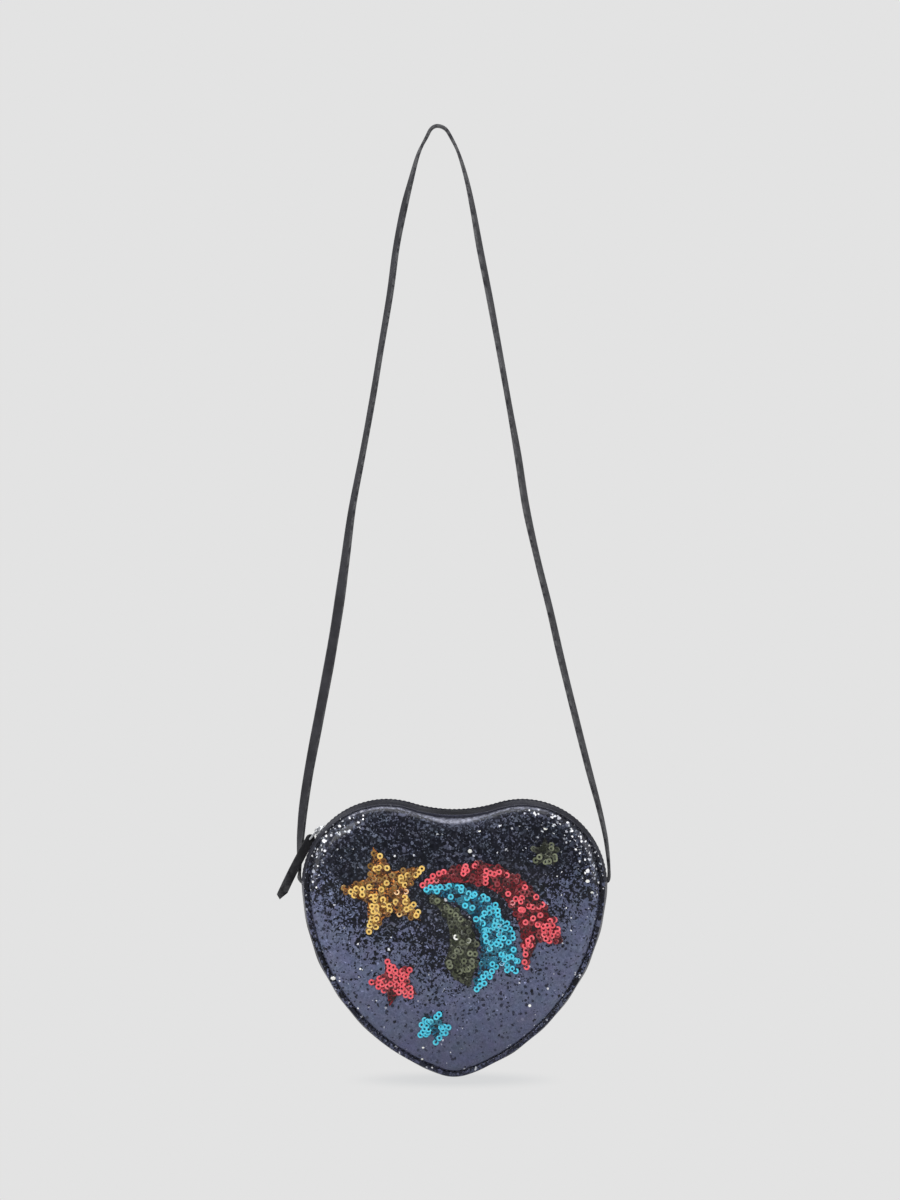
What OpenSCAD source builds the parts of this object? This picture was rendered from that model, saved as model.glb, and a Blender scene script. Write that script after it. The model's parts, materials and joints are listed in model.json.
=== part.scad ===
// Child's heart-shaped crossbody purse: two padded panels joined by a gusset, with a zip over the lobes.
// It hangs from a thin strap. The origin is the underside of the strap's top bend, and the front faces -Y.

/* [Heart outline] */
// Radius of each top lobe at the seam
lobe_r = 48; // [45:1:52]
// Distance of each lobe's centre from the middle
lobe_x = 40; // [38:0.5:42]
// Drop from the lobe centres to the bottom tip
tip_drop = 111; // [104:1:118]
// Radius of the sides between the lobes and the tip
side_r = 120; // [110:2:140]
// Radius of the rounded bottom tip
tip_r = 22; // [18:1:26]
// Radius of the cleft between the lobes
cleft_r = 88; // [80:1:100]

/* [Gusset] */
// Depth of the gusset between the two panels
gusset_d = 42; // [34:1:54]
// How far the gusset bulges outside the seams
gusset_bulge = 2; // [1.5:0.25:2.5]
// Thickness of the gusset and facings
gusset_t = 1.2; // [1:0.1:1.4]
// Width of the flange that is sewn to a panel
flange_w = 6; // [5:0.5:8]
// Angle of the strap seams above the lobe centres, in degrees
seam_angle = 3; // [2.5:0.5:5]

/* [Panels] */
// Thickness of a panel's outer skin
skin_t = 1; // [0.8:0.1:1.4]
// Width of the flat rim outside the stitched crease
rim_w = 3; // [2.5:0.25:3.5]
// Height of the rolled edge inside the crease
roll_h = 3.2; // [2.5:0.1:4]
// Distance over which the edge rolls up
roll_run = 9; // [7:0.5:12]
// Height that the front padding adds
front_pad_h = 2.3; // [1.8:0.1:3]
// Height that the back padding adds
back_pad_h = 3; // [1.8:0.1:3.4]
// Distance over which the padding rises
pad_run = 24; // [18:1:27]
// Extra height of the front's belly in the middle
belly_h = 2.5; // [1.5:0.1:3.5]
// Radius over which the belly fades
belly_r = 100; // [90:5:120]
// Thickness of the stiffening boards
board_t = 1.4; // [1.3:0.1:2]
// Thickness of the lining
lining_t = 0.5; // [0.4:0.1:0.8]

/* [Zip] */
// Width of the channel between the two facings
channel_w = 10.4; // [10:0.2:12]
// Width of each zip tape
tape_w = 10.5; // [9.5:0.5:12]
// Thickness of the zip tapes
tape_t = 0.6; // [0.5:0.05:0.7]
// Distance between the teeth of one row
tooth_pitch = 2.4; // [2.4:0.1:3]
// Width of a tooth's head along the zip
tooth_head_w = 1.05; // [0.9:0.05:1.1]
// Width of a tooth's neck along the zip
tooth_neck_w = 0.75; // [0.6:0.05:0.85]
// Height of a tooth
tooth_h = 1.8; // [1.6:0.1:2]
// Reach of a tooth past the middle of the zip
tooth_reach = 0.8; // [0.7:0.05:0.9]
// How far a tooth grips back from the middle
tooth_grip = 2.4; // [2.2:0.1:2.5]

/* [Slider] */
// Angle on the left lobe at which the closed slider sits, in degrees
slider_angle = 141; // [138:1:144]
// Length of the slider
slider_l = 8; // [7.5:0.1:8.4]
// Width of the slider
slider_w = 7.2; // [7:0.1:7.6]
// Thickness of the slider's plates
plate_t = 0.9; // [0.8:0.05:1.1]
// Thickness of the slider's bridge
bridge_t = 1.8; // [1.4:0.1:2]

/* [Puller] */
// Radius of the pin and bar of the puller
wire_r = 0.5; // [0.4:0.05:0.6]
// Distance from the puller's pin to its bar
puller_l = 6; // [5.8:0.1:6.6]
// Radius of the round ends of the puller's arms
arm_r = 0.65; // [0.6:0.05:0.75]
// Thickness of the puller's arms
arm_t = 0.7; // [0.6:0.05:0.8]

/* [Pull tab] */
// Width of the pull tab
tab_w = 5.5; // [5:0.25:5.75]
// Thickness of the pull tab
tab_t = 2; // [1.6:0.1:2.2]
// Length of the tab from its hole to its tip
tab_l = 40; // [30:1:46]
// Direction in which the tab hangs, in degrees
tab_angle = 243; // [242:1:246]

/* [Strap] */
// Width of the strap
strap_w = 6; // [5:0.5:7]
// Thickness of the strap
strap_t = 2; // [1.6:0.1:2.2]
// Drop from the hang point to the pivots at the seams
strap_drop = 445; // [380:5:560]
// Distance of the purse's middle to the right of the hang point
hang_offset = 10; // [0:1:15]
// How far the strap bows back behind the pull tab
strap_bow = 5.5; // [5:0.25:6]
// Length of the strap's tail inside the seam
tail_l = 8; // [6:0.5:10]

/* [Sequin patches] */
// Thickness of a sequin patch
patch_t = 0.6; // [0.4:0.1:0.8]
// Share of a star's radius at its inner corners
star_inner_share = 0.46; // [0.4:0.02:0.54]

/* [Hidden] */
$fn = 64;

// Small clearances
touch_gap = 0.1;
soft_gap = 0.25;
run_gap = 0.3;
tape_gap = 0.16;
lift_gap = 0.65;
rim_gap = 0.45;
bore_gap = 0.08;
cut_over = 1;

// The heart is a chain of tangent arcs: cleft, lobe, side and tip, mirrored about the middle
cleft_z = sqrt(pow(lobe_r + cleft_r, 2) - pow(lobe_x, 2));
cleft_angle = atan2(cleft_z, -lobe_x);
cleft_c = [0, cleft_z];
lobe_c = [lobe_x, 0];
tip_c = [0, tip_r - tip_drop];
tip_span = norm(tip_c - lobe_c);
tip_way = (tip_c - lobe_c) / tip_span;
side_to_lobe = side_r - lobe_r;
side_to_tip = side_r - tip_r;
side_along = (pow(side_to_lobe, 2) - pow(side_to_tip, 2) + pow(tip_span, 2)) / (2 * tip_span);
side_across = sqrt(pow(side_to_lobe, 2) - pow(side_along, 2));
side_c = lobe_c + side_along * tip_way + side_across * [tip_way.y, -tip_way.x];
side_top = atan2(lobe_c.y - side_c.y, lobe_c.x - side_c.x);
side_bottom = atan2(tip_c.y - side_c.y, tip_c.x - side_c.x);

// Steps along each arc of one half of the outline
cleft_steps = 4;
lobe_steps = 16;
side_steps = 12;
tip_steps = 3;

half_d = gusset_d / 2;
half_w = lobe_x + lobe_r;
board_inset = flange_w + run_gap;
lining_inset = gusset_t + lining_t + cut_over;
pad_inset = rim_w + 2 * skin_t;

// The rings of a panel: exact insets near the edge, then the last of them shrunk towards the middle
ring_inset_shares = [0, 0.08, 0.2, 0.38, 0.62, 1];
shrink_shares = [0.8, 0.55, 0.28];
middle_c = [0, -tip_drop / 5];

function unit(v) = v / norm(v);
function clamp01(u) = min(max(u, 0), 1);
function rest(list) = [for (i = [1:len(list) - 1]) list[i]];
function arc_points(c, r, a0, a1, n) =
    [for (i = [0:n]) c + r * [cos(a0 + (a1 - a0) * i / n), sin(a0 + (a1 - a0) * i / n)]];

// Right half of the outline, drawn in by an inset, from the cleft over the lobe and down to the tip
function half_outline(inset) = concat(
    arc_points(cleft_c, cleft_r + inset, -90, cleft_angle - 180, cleft_steps),
    rest(arc_points(lobe_c, lobe_r - inset, cleft_angle, side_top, lobe_steps)),
    rest(arc_points(side_c, side_r - inset, side_top, side_bottom, side_steps)),
    rest(arc_points(tip_c, tip_r - inset, side_bottom, -90, tip_steps)));

function outline(inset) =
    let (h = half_outline(inset), n = len(h))
    concat(h, [for (i = [n - 2:-1:1]) [-h[i].x, h[i].y]]);

// Distance of a point inside the heart from the seam, taken from the arc whose sector holds it
function sector(p, c) = atan2(p.y - c.y, p.x - c.x);
function edge_distance(point) =
    let (
        p = [abs(point.x), point.y],
        at_lobe = sector(p, lobe_c),
        at_side = sector(p, side_c),
        at_cleft = sector(p, cleft_c),
        at_tip = sector(p, tip_c)
    )
    min(concat(
        at_lobe >= side_top && at_lobe <= cleft_angle ? [lobe_r - norm(p - lobe_c)] : [],
        at_side >= side_bottom && at_side <= side_top ? [side_r - norm(p - side_c)] : [],
        at_cleft >= -90 && at_cleft <= cleft_angle - 180 ? [norm(p - cleft_c) - cleft_r] : [],
        at_tip >= -90 && at_tip <= side_bottom ? [tip_r - norm(p - tip_c)] : [],
        [half_w]));

// Height of a panel's dome over its rim: a rolled edge, then the padding, then a broad belly
function rise(u, power) = 1 - pow(1 - clamp01(u), power);
function dome(p, pad_h, belly) =
    let (d = edge_distance(p) - rim_w, u = rise(d / pad_run, 2))
    roll_h * rise(d / roll_run, 3)
        + u * (pad_h + belly * max(0, 1 - pow(norm(p - middle_c) / belly_r, 2)));
function front_dome(p) = dome(p, front_pad_h, belly_h);
function back_dome(p) = dome(p, back_pad_h, 0);

// Rings of outline points from a first inset to the middle of the panel
function panel_rings(first) = concat(
    [for (s = ring_inset_shares) outline(first + s * (pad_run / 2 + rim_w - first))],
    [for (s = shrink_shares) [for (p = outline(pad_run / 2 + rim_w)) middle_c + s * (p - middle_c)]]);

// A closed solid through rings of equal length, with a centre point closing each end
function ring_faces(n, rings) = [
    for (k = [0:rings - 2], i = [0:n - 1], half = [0, 1])
        let (a = k * n + i, b = k * n + (i + 1) % n)
        half == 0 ? [a, b, a + n] : [b, b + n, a + n]];
function cap_faces(n, first, centre, flip) =
    [for (i = [0:n - 1]) let (a = first + i, b = first + (i + 1) % n) flip ? [b, a, centre] : [a, b, centre]];

module ring_solid(rings, start_centre, end_centre) {
    n = len(rings[0]);
    count = len(rings);
    polyhedron(
        points = concat([for (ring = rings, p = ring) p], [start_centre, end_centre]),
        faces = concat(
            ring_faces(n, count),
            cap_faces(n, 0, count * n, true),
            cap_faces(n, (count - 1) * n, count * n + 1, false)),
        convexity = 6);
}

function reversed(list) = [for (i = [len(list) - 1:-1:0]) list[i]];

// Front surfaces are worked out facing -Y; the back is the same construction turned to face +Y
function lay_front(ring, base) = [for (p = ring) [p.x, -base - front_dome(p), p.y]];
function lay_back(ring, base) = [for (p = ring) [p.x, -base - back_dome(p), p.y]];
function lay_flat(ring, base) = [for (p = ring) [p.x, -base, p.y]];

module front_skin_solid() {
    rings = panel_rings(0);
    top = half_d + skin_t + front_dome(middle_c);
    ring_solid(
        concat(
            [for (r = reversed(rings)) lay_front(r, half_d + skin_t)],
            [for (r = rings) lay_front(r, half_d)]),
        [middle_c.x, -top, middle_c.y],
        [middle_c.x, skin_t - top, middle_c.y]);
}

module back_skin_solid() {
    rings = panel_rings(0);
    top = half_d + skin_t + back_dome(middle_c);
    ring_solid(
        concat(
            [for (r = reversed(rings)) lay_back(r, half_d + skin_t)],
            [for (r = rings) lay_back(r, half_d)]),
        [middle_c.x, -top, middle_c.y],
        [middle_c.x, skin_t - top, middle_c.y]);
}

module front_pad_solid() {
    rings = panel_rings(pad_inset);
    top = half_d + front_dome(middle_c) - soft_gap;
    ring_solid(
        concat([for (r = reversed(rings)) lay_front(r, half_d - soft_gap)], [lay_flat(rings[0], half_d)]),
        [middle_c.x, -top, middle_c.y],
        [middle_c.x, -half_d, middle_c.y]);
}

module back_pad_solid() {
    rings = panel_rings(pad_inset);
    top = half_d + back_dome(middle_c) - soft_gap;
    ring_solid(
        concat([for (r = reversed(rings)) lay_back(r, half_d - soft_gap)], [lay_flat(rings[0], half_d)]),
        [middle_c.x, -top, middle_c.y],
        [middle_c.x, -half_d, middle_c.y]);
}

// A flat heart plate, inset from the seam, whose front face lies at a depth before the middle
module heart_plate(inset, depth, thickness) {
    translate([0, thickness - depth, 0])
        rotate([90, 0, 0])
            linear_extrude(thickness)
                polygon(outline(inset));
}

// The front and the back share every module: the back is the front turned through the middle plane
module to_back() {
    mirror([0, 1, 0])
        children();
}

// The purse hangs below the strap, with its lobe centres at the height of the bag frame's origin
zip_out = gusset_bulge - gusset_t - touch_gap - tape_t / 2;
attach_z = (lobe_r + zip_out) * sin(seam_angle) - strap_t / 2 - touch_gap;
attach_x = half_w + gusset_bulge + run_gap + strap_t / 2;
bag_z = -strap_drop - attach_z;

module in_bag() {
    translate([hang_offset, 0, bag_z])
        children();
}

// Profiles of the side wall: x is how far outside the seam, y how far in front of the middle.
// The first half of each is the outer edge, and the second half the inner edge, back again
wall_steps = 6;
facing_steps = 3;
function bulge_at(f) = gusset_bulge * (1 - pow(f / half_d, 2));
function wall_curve(f0, f1, depth, steps) =
    [for (i = [0:steps]) let (f = f0 + (f1 - f0) * i / steps) [bulge_at(f) - depth, f]];

inner_f = half_d - gusset_t;
gusset_profile = concat(
    [[-flange_w, -half_d]],
    wall_curve(-half_d, half_d, 0, wall_steps),
    [[-flange_w, half_d], [-flange_w, inner_f]],
    wall_curve(inner_f, -inner_f, gusset_t, wall_steps),
    [[-flange_w, -inner_f]]);
facing_profile = concat(
    wall_curve(channel_w / 2, half_d, 0, facing_steps),
    [[-flange_w, half_d], [-flange_w, inner_f]],
    wall_curve(inner_f, channel_w / 2, gusset_t, facing_steps));
function strip_profile(f0, f1, depth, thickness, steps) = concat(
    wall_curve(f0, f1, depth, steps),
    wall_curve(f1, f0, depth + thickness, steps));

// Stations along the seam: a point, and the angle that faces outwards there
function stations(c, r, a0, a1, n, turn) =
    [for (i = [0:n]) let (a = a0 + (a1 - a0) * i / n) [c + r * [cos(a), sin(a)], a + turn]];
left_lobe_c = [-lobe_c.x, lobe_c.y];
left_side_c = [-side_c.x, side_c.y];

// Over both lobes and the cleft, from the right strap seam to the left one
top_stations = concat(
    stations(lobe_c, lobe_r, seam_angle, cleft_angle, lobe_steps, 0),
    rest(stations(cleft_c, cleft_r, cleft_angle - 180, -cleft_angle, 2 * cleft_steps, 180)),
    rest(stations(left_lobe_c, lobe_r, 180 - cleft_angle, 180 - seam_angle, lobe_steps, 0)));

// Down the left side, round the tip and up the right side
bottom_stations = concat(
    stations(left_lobe_c, lobe_r, 180 - seam_angle, 180 - side_top, 1, 0),
    rest(stations(left_side_c, side_r, 180 - side_top, 180 - side_bottom, side_steps, 0)),
    rest(stations(tip_c, tip_r, 180 - side_bottom, 360 + side_bottom, 2 * tip_steps, 0)),
    rest(stations(side_c, side_r, side_bottom, side_top, side_steps, 0)),
    rest(stations(lobe_c, lobe_r, side_top, seam_angle, 1, 0)));

tape_edge_f = tooth_grip - tooth_reach;
tape_profile = strip_profile(tape_edge_f, tape_edge_f + tape_w, gusset_t + touch_gap, tape_t, 2);

// A profile carried along the stations, with flat ends
function end_faces(n, first, flip) = [
    for (i = [0:n / 2 - 2], half = [0, 1])
        let (a = first + i, c = first + n - 2 - i, f = half == 0 ? [a, a + 1, c] : [a, c, c + 1])
        flip ? [f[2], f[1], f[0]] : f];
module wall_solid(places, profile) {
    n = len(profile);
    polyhedron(
        points = [for (place = places, p = profile)
            [place[0].x + p.x * cos(place[1]), -p.y, place[0].y + p.x * sin(place[1])]],
        faces = concat(
            ring_faces(n, len(places)),
            end_faces(n, 0, true),
            end_faces(n, (len(places) - 1) * n, false)),
        convexity = 8);
}

// The strap's end as it passes through the seam, and the notch for it, open to the seam above
module tail_block() {
    outer_x = half_w + gusset_bulge;
    translate([outer_x - tail_l / 2, 0, attach_z])
        cube([tail_l, strap_w, strap_t], center = true);
}

module tail_notches() {
    reach = tail_l + cut_over;
    from_z = attach_z - strap_t / 2 - touch_gap;
    for (side = [0, 1])
        mirror([side, 0, 0])
            translate([half_w + gusset_bulge + cut_over - reach, -strap_w / 2 - touch_gap, from_z])
                cube([reach, strap_w + 2 * touch_gap, strap_t + 2 * cut_over]);
}

// Places a child on the zip: x towards the open end, z outwards, y to the back
module at_angle(centre, radius, normal) {
    translate([centre.x + radius * cos(normal), 0, centre.y + radius * sin(normal)])
        rotate([0, 90 - normal, 0])
            children();
}

// The row of teeth starts inside the closed slider and ends before the right seam
lobe_zip_r = lobe_r + zip_out;
cleft_zip_r = cleft_r - zip_out;
degree = PI / 180;
post_l = slider_l * 0.15;
post_x = -slider_l * 0.36;
first_tooth_x = post_x + post_l / 2 + tooth_pitch / 2;
first_angle = slider_angle - first_tooth_x / lobe_zip_r / degree;
last_angle = seam_angle + 2 * slider_l / lobe_zip_r / degree;
left_run = (first_angle - 180 + cleft_angle) * degree * lobe_zip_r;
cleft_run = (2 * cleft_angle - 180) * degree * cleft_zip_r;
right_run = (cleft_angle - last_angle) * degree * lobe_zip_r;
tooth_count = floor((left_run + cleft_run + right_run) / tooth_pitch);

module at_zip(s) {
    if (s < left_run)
        at_angle([-lobe_x, 0], lobe_zip_r, first_angle - s / lobe_zip_r / degree)
            children();
    else if (s < left_run + cleft_run)
        at_angle(cleft_c, -cleft_zip_r, 180 - cleft_angle - (s - left_run) / cleft_zip_r / -degree)
            children();
    else
        at_angle(lobe_c, lobe_zip_r, cleft_angle - (s - left_run - cleft_run) / lobe_zip_r / degree)
            children();
}

// A tooth grips the tape's edge and reaches past the middle with a wider head
module tooth() {
    neck = tooth_neck_w / 2;
    head = tooth_head_w / 2;
    grip_y = tooth_grip;
    difference() {
        translate([0, 0, -tooth_h / 2])
            linear_extrude(tooth_h)
                polygon([
                    [-neck, grip_y], [-neck, tooth_reach], [-head, tooth_reach / 4], [-head, -tooth_reach / 2],
                    [-neck / 2, -tooth_reach], [neck / 2, -tooth_reach], [head, -tooth_reach / 2],
                    [head, tooth_reach / 4], [neck, tooth_reach], [neck, grip_y]
                ]);
        translate([-tooth_head_w, tape_edge_f - tape_gap, -tape_t / 2 - tape_gap])
            cube([2 * tooth_head_w, tooth_grip, tape_t + 2 * tape_gap]);
    }
}

module teeth_row(offset) {
    for (i = [0:tooth_count - 1])
        at_zip((i + offset) * tooth_pitch)
            tooth();
}

// Slider: two plates held by a post, with rims that keep the teeth in and a bridge for the puller
slider_top = tooth_h / 2 + run_gap;
rim_low = tape_t / 2 + rim_gap;
pin_x = -slider_l * 0.19;
pin_z = slider_top + plate_t + arm_r + lift_gap;
bridge_wall = wire_r + bore_gap + plate_t * 0.8;

module slider_outline() {
    l = slider_l / 2;
    w = slider_w / 2;
    polygon([
        [-l, -w * 0.72], [-l * 0.8, -w], [0, -w], [l * 0.85, -w * 0.92], [l, -w * 0.7],
        [l, w * 0.7], [l * 0.85, w * 0.92], [0, w], [-l * 0.8, w], [-l, w * 0.72]
    ]);
}

module slider_rims() {
    channel = tooth_grip + run_gap;
    difference() {
        slider_outline();
        square([slider_l + cut_over, 2 * channel], center = true);
    }
}

module slider_solid() {
    translate([0, 0, slider_top])
        linear_extrude(plate_t)
            slider_outline();
    translate([0, 0, -slider_top - plate_t])
        linear_extrude(plate_t)
            slider_outline();
    translate([0, 0, rim_low])
        linear_extrude(slider_top - rim_low)
            slider_rims();
    translate([0, 0, -slider_top])
        linear_extrude(slider_top - rim_low)
            slider_rims();
    translate([post_x, 0, 0])
        cube([post_l, tooth_grip * 0.6, 2 * slider_top], center = true);
    slider_bridge();
}

module slider_bridge() {
    foot = slider_l * 0.34;
    plate_top = slider_top + plate_t;
    crest = pin_z + bridge_wall;
    translate([0, bridge_t / 2, 0])
        rotate([90, 0, 0])
            linear_extrude(bridge_t)
                difference() {
                    polygon([
                        [-foot - wire_r, plate_top], [-foot - wire_r, pin_z], [pin_x - bridge_wall / 2, crest],
                        [pin_x + bridge_wall, crest], [foot - wire_r, pin_z], [foot + wire_r, plate_top]
                    ]);
                    translate([pin_x, pin_z])
                        circle(wire_r + bore_gap);
                }
}

module at_slider() {
    at_angle([-lobe_x, 0], lobe_zip_r, slider_angle)
        children();
}

// The puller's pin runs through the bridge; its bar carries the tab
tab_y = 1.7;
arm_y = tab_y + tab_t / 2 + run_gap;

module puller_solid() {
    outer = arm_y + arm_t;
    translate([0, outer, 0])
        rotate([90, 0, 0])
            cylinder(r = wire_r, h = 2 * outer);
    translate([-puller_l, outer, 0])
        rotate([90, 0, 0])
            cylinder(r = wire_r, h = 2 * outer);
    for (y = [arm_y + arm_t, -arm_y])
        translate([0, y, 0])
            rotate([90, 0, 0])
                linear_extrude(arm_t)
                    union() {
                        circle(arm_r);
                        translate([-puller_l, 0])
                            circle(arm_r);
                        translate([-puller_l, -arm_r])
                            square([puller_l, 2 * arm_r]);
                    }
}

bar_angle = slider_angle + atan2(puller_l - pin_x, lobe_zip_r + pin_z);
bar_r = norm([puller_l - pin_x, lobe_zip_r + pin_z]);
bar_x = -lobe_x + bar_r * cos(bar_angle);
bar_z = bar_r * sin(bar_angle);

// The tab is a flat strip with a round end at its hole and a slanting cut at its tip
module tab_outline() {
    w = tab_w / 2;
    difference() {
        union() {
            circle(w);
            polygon([
                [0, -w], [tab_l - tab_w / 3, -w], [tab_l, tab_w * 0.03], [tab_l - tab_w, w], [0, w]
            ]);
        }
        circle(wire_r + bore_gap);
    }
}

// Sequin patches lie on the front dome. Places are shares of the panel's half width
gold_star_shares = [-0.460, -0.025, 0.305, 105];
red_star_shares = [-0.392, -0.620, 0.172, 113];
blue_star_shares = [-0.130, -0.912, 0.113, 60];
olive_star_shares = [0.600, 0.230, 0.106, 90];
red_tail_shares = [[-0.222, 0.030], [0.380, 0.437], [0.723, -0.355], [0.552, -0.360], [0.459, -0.545],
    [0.486, 0.172], [-0.208, 0.006]];
blue_tail_shares = [[-0.200, -0.004], [0.352, 0.137], [0.416, -0.558], [0.286, -0.492], [0.124, -0.670],
    [0.323, -0.124], [-0.195, -0.030]];
olive_tail_shares = [[-0.156, -0.053], [0.277, -0.208], [0.098, -0.657], [-0.003, -0.604], [-0.070, -0.492],
    [0.047, -0.252], [-0.168, -0.070]];
patch_steps = 8;

function patch_point(p, lift) = [p.x, -half_d - skin_t - soft_gap - lift - front_dome(p), p.y];

// A patch from a grid of points: rows of equal length, given a thickness and closed round its edge
function grid_faces(rows, cols, first, flip) = [
    for (r = [0:rows - 2], c = [0:cols - 2], half = [0, 1])
        let (a = first + r * cols + c, b = a + 1, d = a + cols, e = d + 1,
            f = half == 0 ? [a, b, d] : [b, e, d])
        flip ? [f[2], f[1], f[0]] : f];
function grid_rim(rows, cols) = concat(
    [for (c = [0:cols - 1]) c],
    [for (r = [1:rows - 1]) r * cols + cols - 1],
    [for (c = [cols - 2:-1:0]) (rows - 1) * cols + c],
    [for (r = [rows - 2:-1:1]) r * cols]);

module grid_patch(grid) {
    rows = len(grid);
    cols = len(grid[0]);
    total = rows * cols;
    rim = grid_rim(rows, cols);
    n = len(rim);
    polyhedron(
        points = concat(
            [for (row = grid, p = row) patch_point(p, patch_t)],
            [for (row = grid, p = row) patch_point(p, 0)]),
        faces = concat(
            grid_faces(rows, cols, 0, false),
            grid_faces(rows, cols, total, true),
            [for (i = [0:n - 1], half = [0, 1])
                let (a = rim[i], b = rim[(i + 1) % n])
                half == 0 ? [b, a, a + total] : [b, a + total, b + total]]),
        convexity = 4);
}

// A star: tips and inner corners alternate, drawn as rings round its centre
module star_patch(shares) {
    centre = half_w * [shares[0], shares[1]];
    radius = half_w * shares[2];
    corners = [for (i = [0:9])
        let (r = i % 2 == 0 ? radius : radius * star_inner_share, a = shares[3] - i * 36)
        r * [cos(a), sin(a)]];
    edge = [for (i = [0:9], half = [0, 1]) half == 0 ? corners[i] : (corners[i] + corners[(i + 1) % 10]) / 2];
    rings = [for (s = [0.5, 1]) [for (p = edge) centre + s * p]];
    ring_solid(
        concat(
            [for (ring = rings) [for (p = ring) patch_point(p, patch_t)]],
            [for (ring = reversed(rings)) [for (p = ring) patch_point(p, 0)]]),
        patch_point(centre, patch_t),
        patch_point(centre, 0));
}

// A tail: its outer, middle and inner edges are curves pulled by one control point each
function curve(a, b, c, t) = pow(1 - t, 2) * a + 2 * t * (1 - t) * b + t * t * c;
module tail_patch(shares) {
    s = half_w * shares;
    middle_start = (s[0] + s[6]) / 2;
    middle_pull = (s[1] + s[5]) / 2;
    grid_patch([for (i = [0:patch_steps])
        let (t = i / patch_steps)
        [curve(s[6], s[5], s[4], t), curve(middle_start, middle_pull, s[3], t), curve(s[0], s[1], s[2], t)]]);
}

// The strap's route, from the left seam over the hang point to the right seam.
// Each row: share of the way out to the pivot, share of the drop, share of the bow, twist in degrees
left_leg_shares = [
    [1.000, 1.000, 0.00, 0], [1.001, 0.994, 0.36, 0], [1.002, 0.988, 0.68, 4], [1.003, 0.975, 0.96, 14],
    [1.000, 0.955, 1.00, 28], [0.993, 0.935, 0.90, 40], [0.973, 0.900, 0.50, 52], [0.930, 0.850, 0.15, 60],
    [0.857, 0.780, 0.00, 66], [0.780, 0.705, 0.00, 78], [0.721, 0.640, 0.00, 74], [0.671, 0.575, 0.00, 50],
    [0.619, 0.505, 0.00, 34], [0.546, 0.435, 0.00, 26], [0.476, 0.365, 0.00, 25], [0.408, 0.290, 0.00, 25],
    [0.344, 0.220, 0.00, 29], [0.300, 0.160, 0.00, 28], [0.247, 0.110, 0.00, 32], [0.193, 0.070, 0.00, 20],
    [0.139, 0.035, 0.00, 8], [0.079, 0.0125, 0.00, 0], [0.045, 0.0015, 0.00, 0]
];
right_leg_shares = [
    [0.045, 0.0015, 0.00, 0], [0.078, 0.0125, 0.00, 0], [0.125, 0.035, 0.00, 4], [0.171, 0.070, 0.00, 12],
    [0.208, 0.110, 0.00, 21], [0.247, 0.160, 0.00, 28], [0.299, 0.220, 0.00, 27], [0.356, 0.290, 0.00, 24],
    [0.415, 0.365, 0.00, 22], [0.469, 0.435, 0.00, 31], [0.517, 0.505, 0.00, 34], [0.585, 0.575, 0.00, 27],
    [0.656, 0.640, 0.00, 29], [0.721, 0.705, 0.00, 31], [0.802, 0.780, 0.00, 29], [0.880, 0.850, 0.00, 27],
    [0.939, 0.900, 0.00, 20], [0.974, 0.935, 0.00, 14], [0.988, 0.955, 0.00, 10], [0.997, 0.975, 0.00, 5],
    [1.000, 0.990, 0.00, 0], [1.000, 1.000, 0.00, 0]
];
left_out = attach_x - hang_offset;
right_out = attach_x + hang_offset;
function strap_place(row, out) = [row[0] * out, row[2] * strap_bow, -row[1] * strap_drop, row[3]];
strap_stops = concat(
    [for (row = left_leg_shares) strap_place(row, -left_out)],
    [[0, 0, strap_t / 2, 0]],
    [for (row = right_leg_shares) strap_place(row, right_out)]);

// A smooth curve through the stops
function between(p, q, r, s, t) =
    0.5 * (2 * q + (r - p) * t + (2 * p - 5 * q + 4 * r - s) * t * t + (3 * q - p - 3 * r + s) * t * t * t);
function on_strap(i, t) =
    let (n = len(strap_stops) - 1)
    between(strap_stops[max(i - 1, 0)], strap_stops[i], strap_stops[i + 1], strap_stops[min(i + 2, n)], t);
strap_line = concat(
    [for (i = [0:len(strap_stops) - 2], half = [0, 1]) on_strap(i, half / 2)],
    [strap_stops[len(strap_stops) - 1]]);

// The section is a flat strip with eased edges, as shares of its half width and half thickness
section_shares = [[-1, -0.5], [-0.88, -1], [0.88, -1], [1, -0.5], [1, 0.5], [0.88, 1], [-0.88, 1], [-1, 0.5]];
function xyz(p) = [p[0], p[1], p[2]];
function strap_ring(centre, way, twist, narrow) =
    let (
        out = unit(cross(way, [0, 1, 0])),
        side = cross(out, way),
        across = side * cos(twist) + out * sin(twist),
        thick = out * cos(twist) - side * sin(twist)
    )
    [for (s = section_shares)
        centre + across * s.x * narrow * strap_w / 2 + thick * s.y * strap_t / 2];

// Each end is rounded about the pivot, so that it can turn beside the seam
end_turns = [82, 60, 35];
function end_ring(centre, way, a) =
    strap_ring(centre + way * sin(a) * strap_w / 2, way, 0, cos(a));

module strap_solid() {
    n = len(strap_line) - 1;
    ways = [for (i = [0:n]) unit(xyz(strap_line[min(i + 1, n)]) - xyz(strap_line[max(i - 1, 0)]))];
    left = xyz(strap_line[0]);
    right = xyz(strap_line[n]);
    ring_solid(
        concat(
            [for (a = end_turns) strap_ring(left - [0, 0, sin(a) * strap_w / 2], [0, 0, 1], 0, cos(a))],
            [for (i = [0:n]) strap_ring(xyz(strap_line[i]), i == 0 ? [0, 0, 1] : i == n ? [0, 0, -1] : ways[i],
                strap_line[i][3], 1)],
            [for (a = reversed(end_turns)) end_ring(right, [0, 0, -1], a)]),
        left - [0, 0, strap_w / 2],
        right - [0, 0, strap_w / 2]);
}

// Pieces of the strap
module shoulder_strap() {
    color("#34343c")
        strap_solid();
}

module strap_tail_right() {
    color("#34343c")
        in_bag()
            tail_block();
}

module strap_tail_left() {
    color("#34343c")
        in_bag()
            mirror([1, 0, 0])
                tail_block();
}

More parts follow.
